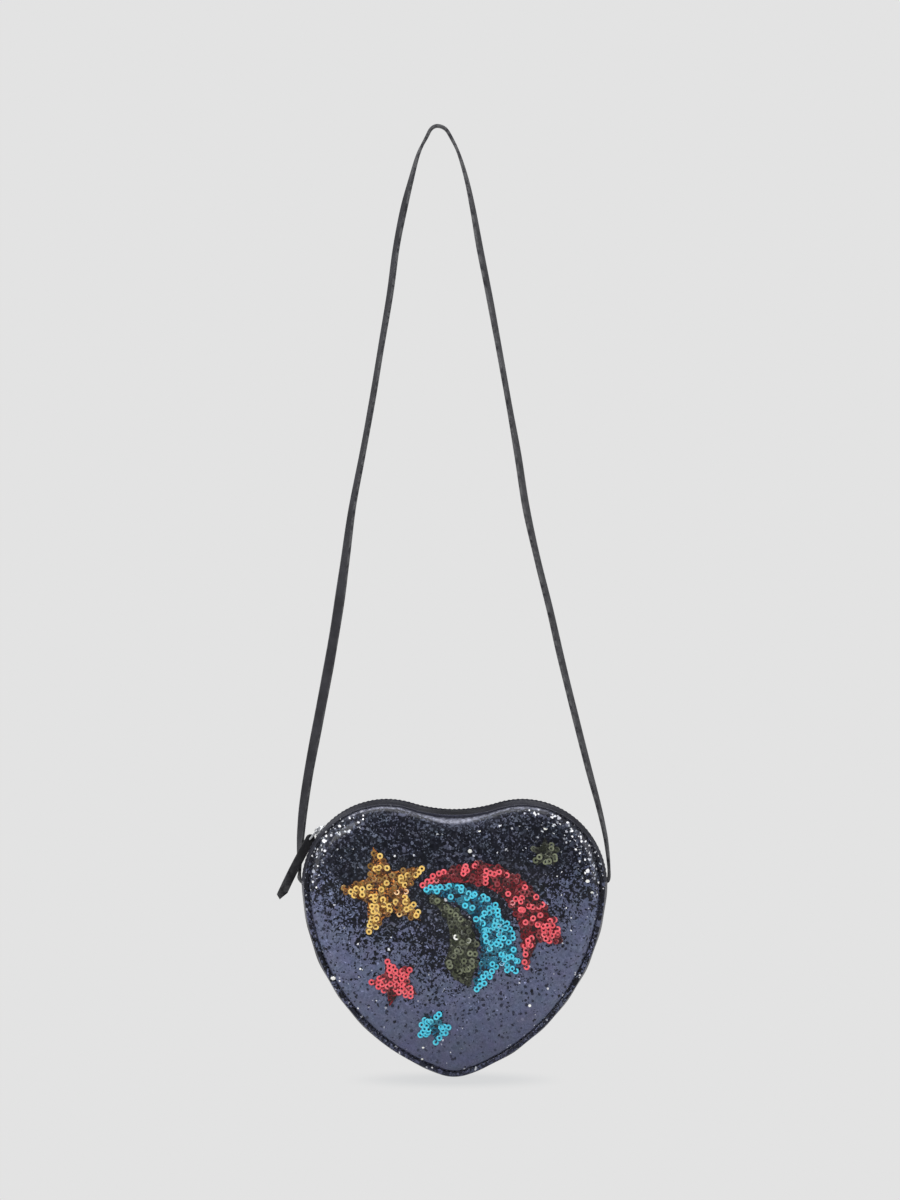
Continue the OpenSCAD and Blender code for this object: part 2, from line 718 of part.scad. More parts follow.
// Pieces of the front and back
module front_panel() {
    color("#2f3347")
        in_bag()
            front_skin_solid();
}

module front_padding() {
    color("#c9c9c4")
        in_bag()
            front_pad_solid();
}

module front_board() {
    color("#9a8d78")
        in_bag()
            heart_plate(board_inset, half_d, board_t);
}

module front_lining() {
    color("#3c3c4e")
        in_bag()
            heart_plate(lining_inset, half_d - board_t, lining_t);
}

module back_panel() {
    color("#2a2a38")
        in_bag()
            to_back()
                back_skin_solid();
}

module back_padding() {
    color("#c9c9c4")
        in_bag()
            to_back()
                back_pad_solid();
}

module back_board() {
    color("#9a8d78")
        in_bag()
            to_back()
                heart_plate(board_inset, half_d, board_t);
}

module back_lining() {
    color("#3c3c4e")
        in_bag()
            to_back()
                heart_plate(lining_inset, half_d - board_t, lining_t);
}

// Pieces of the side wall
module bottom_gusset() {
    color("#26263a")
        in_bag()
            difference() {
                wall_solid(bottom_stations, gusset_profile);
                tail_notches();
            }
}

module gusset_lining() {
    edge_f = half_d - board_t - lining_t;
    color("#3c3c4e")
        in_bag()
            difference() {
                wall_solid(bottom_stations, strip_profile(-edge_f, edge_f, gusset_t + touch_gap, lining_t, 4));
                tail_notches();
            }
}

module zip_facing_front() {
    color("#26263a")
        in_bag()
            wall_solid(top_stations, facing_profile);
}

module zip_facing_back() {
    color("#26263a")
        in_bag()
            to_back()
                wall_solid(top_stations, facing_profile);
}

// Pieces of the zip
module zip_tape_front() {
    color("#22222f")
        in_bag()
            wall_solid(top_stations, tape_profile);
}

module zip_tape_back() {
    color("#22222f")
        in_bag()
            to_back()
                wall_solid(top_stations, tape_profile);
}

module zip_teeth_front() {
    color("#1c1c22")
        in_bag()
            mirror([0, 1, 0])
                teeth_row(0);
}

module zip_teeth_back() {
    color("#1c1c22")
        in_bag()
            teeth_row(0.5);
}

// A stop is a small block clamped over the tape's edge
module stop_block(length, from_y, to_y) {
    translate([0, (from_y + to_y) / 2, tape_t / 2 + tooth_h / 8])
        cube([length, to_y - from_y, tooth_h / 4], center = true);
}

stop_l = tooth_pitch * 0.55;
stop_angle = slider_angle + (slider_l / 2 + run_gap + stop_l / 2) / lobe_zip_r / degree;

module zip_top_stops() {
    color("#b9bcc2")
        in_bag()
            at_angle([-lobe_x, 0], lobe_zip_r, stop_angle)
                for (side = [0, 1])
                    mirror([0, side, 0])
                        stop_block(stop_l, tape_edge_f, tape_edge_f + 2 * tooth_reach);
}

module zip_bottom_stop() {
    color("#b9bcc2")
        in_bag()
            at_angle(lobe_c, lobe_zip_r, last_angle - tooth_pitch / lobe_zip_r / degree)
                stop_block(tooth_pitch, -tooth_grip - tooth_reach, tooth_grip + tooth_reach);
}

module slider() {
    color("#c4c7cc")
        in_bag()
            at_slider()
                slider_solid();
}

module puller_loop() {
    color("#c4c7cc")
        in_bag()
            at_slider()
                translate([pin_x, 0, pin_z])
                    puller_solid();
}

module pull_tab() {
    color("#25252b")
        in_bag()
            translate([bar_x, tab_t / 2 - tab_y, bar_z])
                rotate([0, -tab_angle, 0])
                    rotate([90, 0, 0])
                        linear_extrude(tab_t)
                            tab_outline();
}

// Sequin patches
module gold_star() {
    color("#f0b548")
        in_bag()
            star_patch(gold_star_shares);
}

module red_star() {
    color("#e2475a")
        in_bag()
            star_patch(red_star_shares);
}

module blue_star() {
    color("#2fb6d8")
        in_bag()
            star_patch(blue_star_shares);
}

module olive_star() {
    color("#5c6048")
        in_bag()
            star_patch(olive_star_shares);
}

module red_tail() {
    color("#c23a4c")
        in_bag()
            tail_patch(red_tail_shares);
}

module blue_tail() {
    color("#2fb6d8")
        in_bag()
            tail_patch(blue_tail_shares);
}

module olive_tail() {
    color("#5c6048")
        in_bag()
            tail_patch(olive_tail_shares);
}

shoulder_strap();
front_panel();
front_padding();
front_board();
front_lining();
back_panel();
back_padding();
back_board();
back_lining();
bottom_gusset();
gusset_lining();
zip_facing_front();
zip_facing_back();
zip_tape_front();
zip_tape_back();
zip_teeth_front();
zip_teeth_back();
zip_top_stops();
zip_bottom_stop();
slider();
puller_loop();
pull_tab();
strap_tail_left();
strap_tail_right();
gold_star();
red_star();
blue_star();
olive_star();
red_tail();
blue_tail();
olive_tail();
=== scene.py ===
import json
import math

import bmesh
import bpy
import numpy as np
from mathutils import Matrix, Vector


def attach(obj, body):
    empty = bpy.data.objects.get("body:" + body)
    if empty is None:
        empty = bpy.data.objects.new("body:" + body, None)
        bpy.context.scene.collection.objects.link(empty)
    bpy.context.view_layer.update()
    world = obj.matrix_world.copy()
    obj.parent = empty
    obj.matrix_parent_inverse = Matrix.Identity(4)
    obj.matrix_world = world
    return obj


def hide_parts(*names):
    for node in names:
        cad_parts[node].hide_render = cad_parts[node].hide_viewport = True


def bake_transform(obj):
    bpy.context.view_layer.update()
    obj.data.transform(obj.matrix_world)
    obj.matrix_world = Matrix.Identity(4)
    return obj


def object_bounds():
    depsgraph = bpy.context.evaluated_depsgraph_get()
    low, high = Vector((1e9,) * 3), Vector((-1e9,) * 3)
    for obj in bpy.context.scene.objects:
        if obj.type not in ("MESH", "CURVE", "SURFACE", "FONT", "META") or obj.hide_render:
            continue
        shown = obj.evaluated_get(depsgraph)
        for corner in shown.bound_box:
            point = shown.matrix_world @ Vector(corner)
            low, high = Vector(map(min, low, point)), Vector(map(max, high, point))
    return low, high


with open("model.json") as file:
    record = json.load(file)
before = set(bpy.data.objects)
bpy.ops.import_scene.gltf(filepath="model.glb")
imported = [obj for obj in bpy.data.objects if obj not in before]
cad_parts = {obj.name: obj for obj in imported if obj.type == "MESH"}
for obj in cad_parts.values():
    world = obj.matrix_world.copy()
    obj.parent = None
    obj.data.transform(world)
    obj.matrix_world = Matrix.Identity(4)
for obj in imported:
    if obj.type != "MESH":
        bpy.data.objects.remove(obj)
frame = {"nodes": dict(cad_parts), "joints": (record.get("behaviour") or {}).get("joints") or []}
NODES = frame["nodes"]
cad_low, cad_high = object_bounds()

# Sizes in millimetres, angles in degrees and a share, as in the part's source
LOBE_R, LOBE_X, TIP_DROP, SIDE_R, TIP_R, CLEFT_R = 48.0, 40.0, 111.0, 120.0, 22.0, 88.0
GUSSET_D, BULGE, GUSSET_T, FLANGE, SEAM_ANGLE = 42.0, 2.0, 1.2, 6.0, 3.0
SKIN_T, RIM_W, ROLL_H, ROLL_RUN = 1.0, 3.0, 3.2, 9.0
FRONT_PAD, BACK_PAD, PAD_RUN, BELLY_H, BELLY_R = 2.3, 3.0, 24.0, 2.5, 100.0
BOARD_T, LINING_T, CHANNEL_W, TAPE_W, TAPE_T, TAPE_EDGE = 1.4, 0.5, 10.4, 10.5, 0.6, 1.6
STRAP_W, STRAP_T, STRAP_DROP, HANG, STRAP_BOW = 6.0, 2.0, 445.0, 10.0, 5.5
TAB_W, TAB_T, TAB_L, TAB_ANGLE, TAB_Y = 5.5, 2.0, 40.0, 243.0, 1.7
TOUCH_GAP, RUN_GAP, STAR_INNER = 0.1, 0.3, 0.46
HALF_D, HALF_W, SEAM = GUSSET_D / 2, LOBE_X + LOBE_R, math.radians(SEAM_ANGLE)
BELLY_C = np.array([0.0, -TIP_DROP / 5])
ZIP_OUT = BULGE - GUSSET_T - TOUCH_GAP - TAPE_T / 2
ATTACH_Z = (LOBE_R + ZIP_OUT) * math.sin(SEAM) - STRAP_T / 2 - TOUCH_GAP
BAG_Z = -STRAP_DROP - ATTACH_Z
ATTACH_X = HALF_W + BULGE + RUN_GAP + STRAP_T / 2
MM = 0.001

# Sizes of the soft forms alone: end of the rim's warp, step at a sewn edge, easing of a panel's cut edge, gap
# over the boards, and the pitch, length and radius of the stitches
WARP_END, SEWN_STEP, CUT_EASE, BOARD_GAP = 15.0, 0.15, 0.22, 0.02
CREASE_STITCH, FACING_STITCH = (2.9, 2.2, 0.26), (2.7, 2.0, 0.17)
SIDES = (("front", 1), ("back", -1))
RANDOM = np.random.default_rng(7)

# Centres and joints of the heart's tangent arcs: cleft, lobe, side and tip
CLEFT_Z = math.sqrt((LOBE_R + CLEFT_R) ** 2 - LOBE_X**2)
CLEFT_ANGLE = math.atan2(CLEFT_Z, -LOBE_X)
CLEFT_C, LOBE_C = np.array([0.0, CLEFT_Z]), np.array([LOBE_X, 0.0])
TIP_C = np.array([0.0, TIP_R - TIP_DROP])


def side_centre():
    """Centre of the side arc, so far from the lobe's and the tip's centres that it touches both arcs."""
    span = np.linalg.norm(TIP_C - LOBE_C)
    way = (TIP_C - LOBE_C) / span
    along = ((SIDE_R - LOBE_R) ** 2 - (SIDE_R - TIP_R) ** 2 + span**2) / (2 * span)
    across = math.sqrt((SIDE_R - LOBE_R) ** 2 - along**2)
    return LOBE_C + along * way + across * np.array([way[1], -way[0]])


SIDE_C = side_centre()
SIDE_TOP = math.atan2(-SIDE_C[1], LOBE_X - SIDE_C[0])
SIDE_BOTTOM = math.atan2(TIP_C[1] - SIDE_C[1], -SIDE_C[0])


def in_row(points):
    """Millimetres in the purse (x right, y back, z up from the lobe centres) to metres in the row frame."""
    return (np.asarray(points, float) + [HANG, 0, BAG_Z]) * MM


def upright(p, y):
    """Points (x, z) of the heart's plane set at the depth y: (x, y, z)."""
    return np.stack(np.broadcast_arrays(p[..., 0], y, p[..., 1]), -1)


def around(angles):
    return np.stack([np.cos(angles), np.sin(angles)], -1)


def full_turn(steps):
    return np.linspace(0, 2 * math.pi, steps, endpoint=False)


def unit(v):
    return v / np.linalg.norm(v, axis=-1, keepdims=True)


def run_length(line):
    """Length along a line of points up to each of them."""
    return np.concatenate([[0], np.cumsum(np.linalg.norm(np.diff(line, axis=0), axis=1))])


def bell(x, middle, width):
    return np.exp(-((x - middle) / width) ** 2)


def soft_step(x, low, high):
    """0 up to low, 1 from high on, and 3 t^2 - 2 t^3 between them."""
    t = np.clip((x - low) / (high - low), 0, 1)
    return t * t * (3 - 2 * t)


def squared(wave, power):
    """A sine or cosine drawn towards a square wave: its sign times its size to a power below 1."""
    return np.sign(wave) * np.abs(wave) ** power


def arc(centre, radius, start, end, steps):
    """Points and outward angles along an arc: centre + radius (cos a, sin a) for steps + 1 even angles."""
    a = np.linspace(start, end, steps + 1)
    return centre + radius * around(a), a


def joined(*arcs):
    """Chains arcs that meet end to end, keeping each joint once."""
    points = [arcs[0][0]] + [p[1:] for p, _ in arcs[1:]]
    angles = [arcs[0][1]] + [a[1:] for _, a in arcs[1:]]
    return np.concatenate(points), np.concatenate(angles)


def outline(inset, fine=1):
    """The whole heart drawn in by an inset, clockwise from the cleft: right half, then its mirror image."""
    half, _ = joined(
        arc(CLEFT_C, CLEFT_R + inset, -math.pi / 2, CLEFT_ANGLE - math.pi, 10 * fine),
        arc(LOBE_C, LOBE_R - inset, CLEFT_ANGLE, SIDE_TOP, 40 * fine),
        arc(SIDE_C, SIDE_R - inset, SIDE_TOP, SIDE_BOTTOM, 40 * fine),
        arc(TIP_C, TIP_R - inset, SIDE_BOTTOM, -math.pi / 2, 10 * fine))
    return np.concatenate([half, half[-2:0:-1] * [-1, 1]])


def edge_distance(p):
    """Distance of points inside the heart from its seam: the least over the arcs whose sector holds them."""
    q = np.stack([np.abs(p[..., 0]), p[..., 1]], -1)
    slack, far = 1e-9, 99.0

    def sector(c, low, high, value):
        a = np.arctan2(q[..., 1] - c[1], q[..., 0] - c[0])
        return np.where((a >= low - slack) & (a <= high + slack), value(np.linalg.norm(q - c, axis=-1)), far)

    return np.minimum.reduce([
        sector(LOBE_C, SIDE_TOP, CLEFT_ANGLE, lambda r: LOBE_R - r),
        sector(SIDE_C, SIDE_BOTTOM, SIDE_TOP, lambda r: SIDE_R - r),
        sector(CLEFT_C, -math.pi / 2, CLEFT_ANGLE - math.pi, lambda r: r - CLEFT_R),
        sector(TIP_C, -math.pi / 2, SIDE_BOTTOM, lambda r: TIP_R - r)])


def dome_raw(p, pad, belly):
    """Height over the rim: a cubic rolled edge, plus padding that rises quadratically, plus a broad belly."""
    d = edge_distance(p) - RIM_W
    roll = 1 - (1 - np.clip(d / ROLL_RUN, 0, 1)) ** 3
    rise = 1 - (1 - np.clip(d / PAD_RUN, 0, 1)) ** 2
    far = np.linalg.norm(p - BELLY_C, axis=-1) / BELLY_R
    return ROLL_H * roll + rise * (pad + belly * np.clip(1 - far**2, 0, None))


def dome(p, pad, belly):
    """The raw dome, counted twice, averaged with ten neighbours at a radius that grows inwards up to 6 mm."""
    reach = np.clip((edge_distance(p) - 5) / 2, 0, 6)[..., None]
    total = dome_raw(p, pad, belly) * 2
    for a in full_turn(10):
        total = total + dome_raw(p + reach * [math.cos(a), math.sin(a)], pad, belly)
    return total / 12


def front_height(p):
    return dome(p, FRONT_PAD, BELLY_H)


def back_height(p):
    return dome(p, BACK_PAD, 0)


def waves(p, size, seed):
    """Soft irregular undulation between -1 and 1: the mean of six sine waves in seeded directions."""
    r = np.random.default_rng(seed)
    total = 0
    for _ in range(6):
        a, phase, k = r.uniform(0, 2 * math.pi), r.uniform(0, 2 * math.pi), r.uniform(0.7, 1.6) / size
        total = total + np.sin(2 * math.pi * k * (p[..., 0] * math.cos(a) + p[..., -1] * math.sin(a)) + phase)
    return total / 6


def link(obj):
    bpy.context.scene.collection.objects.link(obj)
    return obj


def make_object(name, verts, quads, tris=(), smooth_angle=40, uv=None, **attributes):
    """A mesh object from arrays of points, quads and triangles, with UVs and float attributes per point."""
    mesh = bpy.data.meshes.new(name)
    faces = np.asarray(quads, int).reshape(-1, 4).tolist() + np.asarray(tris, int).reshape(-1, 3).tolist()
    mesh.from_pydata(np.asarray(verts, float).reshape(-1, 3), [], faces)
    mesh.shade_smooth()
    if smooth_angle < 180:
        mesh.set_sharp_from_angle(angle=math.radians(smooth_angle))
    if uv is not None:
        index = np.zeros(len(mesh.loops), np.int32)
        mesh.loops.foreach_get("vertex_index", index)
        layer = mesh.uv_layers.new(name="surface")
        layer.data.foreach_set("uv", np.asarray(uv, np.float32).reshape(-1, 2)[index].ravel())
    for key, values in attributes.items():
        data = mesh.attributes.new(key, "FLOAT", "POINT").data
        data.foreach_set("value", np.asarray(values, np.float32).ravel())
    mesh.validate()
    return link(bpy.data.objects.new(name, mesh))


def ring_quads(rings, n):
    """Quads between consecutive rings of n points, each ring closed on itself."""
    i = np.arange(n)
    k = np.arange(rings - 1)[:, None] * n
    return np.stack([k + i, k + (i + 1) % n, k + n + (i + 1) % n, k + n + i], -1).reshape(-1, 4)


def with_ends(values):
    """Values per point of a grid of rings, followed by the means of the first and of the last ring."""
    return np.concatenate([values.reshape(-1, *values.shape[2:]), values[:1].mean(1), values[-1:].mean(1)])


def capped_rings(name, rings, flip=False, uv=None, smooth_angle=40, **attributes):
    """A closed form: rings joined by quads, and a fan to the middle of the first and of the last ring."""
    count, n = rings.shape[:2]
    quads = ring_quads(count, n)
    i, j, last = np.arange(n), (np.arange(n) + 1) % n, (count - 1) * n
    tris = np.concatenate([
        np.stack([j, i, np.full(n, count * n)], -1),
        np.stack([last + i, last + j, np.full(n, count * n + 1)], -1)])
    if not flip:
        quads, tris = quads[:, ::-1], tris[:, ::-1]
    attributes = {key: with_ends(values) for key, values in attributes.items()}
    uv = None if uv is None else with_ends(uv)
    return make_object(name, with_ends(rings), quads, tris, smooth_angle, uv, **attributes)


def repeated(quads, count, points):
    """The quads of one small form, repeated for a number of copies with so many points each."""
    return (np.asarray(quads)[None] + np.arange(count)[:, None, None] * points).reshape(-1, 4)


def copies(name, form, quads, centres, axes, **keys):
    """One object with a copy of a form at each centre, its x, y and z laid along the copy's own axes."""
    verts = centres[:, None] + sum(form[None, :, i:i + 1] * axes[i][:, None] for i in range(3))
    return make_object(name, in_row(verts), repeated(quads, len(centres), len(form)), **keys)


# Shader helpers: they add to the node tree in work, and hand values on as signals
def worked_by(operation, turned=False):
    return lambda a, b: maths(operation, b, a) if turned else maths(operation, a, b)


class Signal:
    """An output socket that takes + - * / and ** with numbers and other signals."""
    __add__ = worked_by("ADD")
    __sub__ = worked_by("SUBTRACT")
    __rsub__ = worked_by("SUBTRACT", True)
    __mul__ = worked_by("MULTIPLY")
    __truediv__ = worked_by("DIVIDE")
    __rtruediv__ = worked_by("DIVIDE", True)
    __pow__ = worked_by("POWER")
    __rpow__ = worked_by("POWER", True)

    def __init__(self, socket):
        self.socket = socket


def put(kind, values=None, **settings):
    """Adds a node, sets its properties, and sets or links its inputs, which go by name or number."""
    node = TREE.nodes.new(kind if kind.startswith("NodeGroup") else "ShaderNode" + kind)
    for key, value in settings.items():
        setattr(node, key, value)
    for key, value in (values or {}).items():
        if isinstance(value, Signal):
            TREE.links.new(value.socket, node.inputs[key])
        else:
            node.inputs[key].default_value = value
    return node


def out(kind, values=None, key=0, **settings):
    """One output of a new node, as a signal."""
    return Signal(put(kind, values, **settings).outputs[key])


def signals(node):
    return {socket.name: Signal(socket) for socket in node.outputs if socket.name}


def maths(operation, *terms, clamp=False):
    return out("Math", dict(enumerate(terms)), operation=operation, use_clamp=clamp)


def most(first, *others):
    """The greatest of several signals."""
    for other in others:
        first = maths("MAXIMUM", first, other)
    return first


def vectors(operation, *terms):
    return out("VectorMath", dict(enumerate(terms)), operation=operation)


def scaled(vector, by):
    return out("VectorMath", {0: vector, "Scale": by}, operation="SCALE")


def split(vector, kind="XYZ"):
    return [Signal(socket) for socket in put("Separate" + kind, {0: vector}).outputs]


def blend(share, a, b, how="MIX"):
    return out("Mix", {0: share, 6: a, 7: b}, 2, data_type="RGBA", blend_type=how)


def spread(value, low, high, start=0.0, end=1.0, steps="SMOOTHSTEP"):
    """A smooth run from start to end as the value goes from low to high."""
    return out("MapRange", {0: value, 1: low, 2: high, 3: start, 4: end}, interpolation_type=steps)


def mix(share, a, b):
    """A straight run from a to b as the share goes from 0 to 1."""
    return spread(share, 0, 1, a, b, "LINEAR")


def noise(where, scale, detail=2.0, rough=0.5, key="Fac"):
    values = {"Vector": where, "Scale": scale, "Detail": detail, "Roughness": rough}
    return out("TexNoise", values, key)


def cells(where, **settings):
    return signals(put("TexVoronoi", {"Vector": where, "Scale": 1.0}, **settings))


def place():
    return out("TexCoord", key="Object")


def attribute(name):
    return out("Attribute", key="Fac", attribute_name=name)


def bump(height, strength, distance, **over):
    return out("Bump", {"Height": height, "Strength": strength, "Distance": distance, **over})


def colour(red, green, blue):
    """A colour written as 0 to 255 on screen, turned to linear light."""
    lin = [c / 255 / 12.92 if c <= 10 else ((c / 255 + 0.055) / 1.055) ** 2.4 for c in (red, green, blue)]
    return (*lin, 1.0)


def grey(value):
    return (value, value, value, 1)


def shaded(base, factor, lift=0.0):
    """A colour made darker or lighter: factor times each channel, plus a lift, up to 1."""
    return [min(1, c * factor + lift) for c in base[:3]] + [1]


def new_group(name, given, made):
    """Puts a new node group in work, with named sockets listed by type, and returns its inputs as signals."""
    global TREE
    TREE = bpy.data.node_groups.new(name, "ShaderNodeTree")
    for way, kinds in (("INPUT", given), ("OUTPUT", made)):
        for kind, labels in kinds.items():
            for label in labels:
                TREE.interface.new_socket(label, in_out=way, socket_type="NodeSocket" + kind)
    return signals(put("NodeGroupInput"))


def group_of(**values):
    """Links a group's outputs and returns the group."""
    put("NodeGroupOutput", values)
    return TREE


def spaced(values):
    return {key.replace("_", " "): value for key, value in values.items()}


def use(group, **values):
    return signals(put("Group", spaced(values), node_tree=group))


def in_work(owner):
    """Empties the node tree of a material or world, and makes it the one that nodes are added to."""
    global TREE
    owner.use_nodes = True
    TREE = owner.node_tree
    TREE.nodes.clear()
    return owner


def new_material(name):
    return in_work(bpy.data.materials.new(name))


def principled(mat, **values):
    """Ends a material with its shader: signals are linked, and constants are set on its own sockets."""
    put("OutputMaterial", {0: out("BsdfPrincipled", spaced(values))})
    return mat


# Effects that several materials share
def build_grain():
    """Leathercloth grain: fine pebbles bounded by creases, with pores and a slow change of height."""
    given = new_group("leathercloth_grain", {"Vector": ["Vector"], "Float": ["Pebble Size"]},
                      {"Float": ["Height", "Creases", "Patches"]})
    moved = scaled(given["Vector"], 1.0 / given["Pebble Size"])
    bent = vectors("ADD", moved, noise(moved, 0.6, key="Color"))
    crease = spread(cells(bent, feature="DISTANCE_TO_EDGE")["Distance"], 0.0, 0.12)
    return group_of(Height=crease * 0.7 + noise(moved, 2.6, 3.0, 0.6) * 0.5, Creases=1.0 - crease,
                    Patches=noise(moved, 0.05, 4.0, 0.6))


def build_glitter():
    """Loose glitter: cells of one random colour and tilt each, a share of them light and a few in a painted
    glint colour.
    """
    given = new_group("glitter_flakes", {
        "Vector": ["Vector"], "Float": ["Flake Size", "Light Share", "Tilt", "Glint Share"],
        "Color": ["Dark", "Deep", "Light", "Pale", "Glint"]},
        {"Color": ["Color"], "Vector": ["Normal"], "Float": ["Glints", "Lights"]})
    moved = scaled(given["Vector"], 1.0 / given["Flake Size"])
    ragged = vectors("ADD", moved, scaled(noise(moved, 1.4, key="Color"), 0.9))
    turn = cells(ragged)["Color"]
    red, green, blue = split(turn, "Color")
    light = maths("LESS_THAN", red, given["Light Share"])
    glint = maths("LESS_THAN", blue, given["Glint Share"])
    dark_mix = blend(green ** 1.5, given["Deep"], given["Dark"])
    body = blend(light, dark_mix, blend(green, given["Light"], given["Pale"]))
    # Glinting cells take the Glint colour: a painted glint
    spark = blend(spread(green, 0.1, 0.8), given["Pale"], given["Glint"])
    lean = scaled(vectors("SUBTRACT", turn, (0.5, 0.5, 0.5)), given["Tilt"])
    face = out("NewGeometry", key="Normal")
    return group_of(Color=blend(glint, body, spark), Normal=vectors("NORMALIZE", vectors("ADD", face, lean)),
                    Glints=glint, Lights=light)


def build_specks():
    """Scattered round specks on a plane: a share of the cells holds one each, of its own size and tone."""
    given = new_group("round_specks", {"Vector": ["Vector"], "Float": ["Cell Size", "Share"]},
                      {"Float": ["Mask", "Tone"]})
    moved = scaled(given["Vector"], 1.0 / given["Cell Size"])
    bent = vectors("ADD", moved, scaled(noise(moved, 2.4, 1.0, key="Color"), 0.3))
    cell = cells(bent, voronoi_dimensions="2D")
    red, green, blue = split(cell["Color"], "Color")
    dot = spread(mix(green, 0.13, 0.31) - cell["Distance"], 0.0, 0.07)
    return group_of(Mask=dot * maths("LESS_THAN", red, given["Share"]), Tone=blue)


def build_weave():
    """Plain weave on UVs in metres: threads cross as two sine ridges that take turns on top."""
    given = new_group("plain_weave", {"Vector": ["Vector"], "Float": ["Thread"]},
                      {"Float": ["Height", "Shade"]})
    u, v = (part / given["Thread"] for part in split(given["Vector"])[:2])
    warp, weft = (maths("ABSOLUTE", maths("SINE", part * math.pi)) for part in (u, v))
    over = maths("PINGPONG", maths("FLOOR", u) + maths("FLOOR", v), 1.0)
    return group_of(Height=out("Mix", {0: over, 2: warp, 3: weft}),
                    Shade=noise(given["Vector"], 900.0, 3.0))


GRAIN, GLITTER, SPECKS, WEAVE = build_grain(), build_glitter(), build_specks(), build_weave()

# In metres: place across of the cleft's low point, then middle and half width of the glitter's zones of
# painted light and shade
DIP_X, ZONE_X, ZONE_HALF = 0.009, 0.006, 0.084
# Shades of the glitter in its zones of painted light and shade: in the middle of the front, above it and at
# the tip
PAINTED_ZONE_SHADES = {"Dark": ((27, 29, 44), (34, 36, 48), (48, 50, 68)),
          "Deep": ((6, 8, 16), (16, 18, 27), (34, 36, 52)),
          "Light": ((84, 90, 116), (52, 56, 69), (75, 79, 103)),
          "Pale": ((108, 114, 142), (80, 85, 102), (93, 97, 124))}
# Clumps of painted shade (place across and up, reach and strength in metres), and the share of light glitter
# by height, which paints the lower front lighter
SHADE_CLUMPS = ((0.053, -0.497, 0.016, 0.013), (-0.016, -0.513, 0.008, 0.02))
PAINTED_LIGHT_SHARES = ((0, 0.985), (0.22, 0.95), (0.33, 0.82), (0.40, 0.52), (0.46, 0.30), (0.54, 0.24),
                (0.75, 0.26), (1, 0.24))
# Heights in metres over which the zones of the front begin: the painted light shares, the painted glints
# on the rolled edge, the upper part darker with painted shade, the paler tip, the pits and the dark top
LEVELS, SHINES, PAINTED_SHADE_UPPER, TIP = (-0.56, -0.40), (-0.462, -0.430), (-0.492, -0.466), (-0.502, -0.548)
PITS, TOP = (-0.488, -0.505), (-0.416, -0.407)


def leathercloth(name, base, wear_and_sheen, pebble=0.0006, rough=0.42, gloss=0.3, cleft_shade=0.0):
    """Grained coated cloth: darker creases, slow patches, and a tone of wear by the border attribute, which
    on the strap also paints a sheen. Its last argument is the share of painted shade under the cleft."""
    mat = new_material(name)
    where = place()
    grain = use(GRAIN, Vector=where, Pebble_Size=pebble)
    tone = blend(spread(grain["Patches"], 0.36, 0.66), base, shaded(base, 0.58))
    tone = blend(grain["Creases"] * 0.6, tone, shaded(base, 0.3))
    dents = noise(where, 95.0, 3.0, 0.55)
    tone = blend(spread(dents, 0.5, 0.75, 0.0, 0.13), tone, wear_and_sheen)
    rub = spread(noise(where, 260.0, 3.0, 0.65), 0.35, 0.62)
    tone = blend(maths("MULTIPLY", attribute("border"), rub, clamp=True), tone, wear_and_sheen)
    if cleft_shade:
        # Painted shade under the cleft
        cleft_shade_mask = spread(maths("ABSOLUTE", split(where)[0] - DIP_X), 0.036, 0.006, 0.0, cleft_shade)
        tone = blend(cleft_shade_mask, tone, shaded(base, 0.3))
    return principled(
        mat, Base_Color=tone, Roughness=spread(grain["Patches"], 0.3, 0.7, rough - 0.1, rough + 0.12),
        Normal=bump(grain["Height"], 0.6, 0.00016, Normal=bump(dents, 0.45, 0.0012)),
        Specular_IOR_Level=gloss)


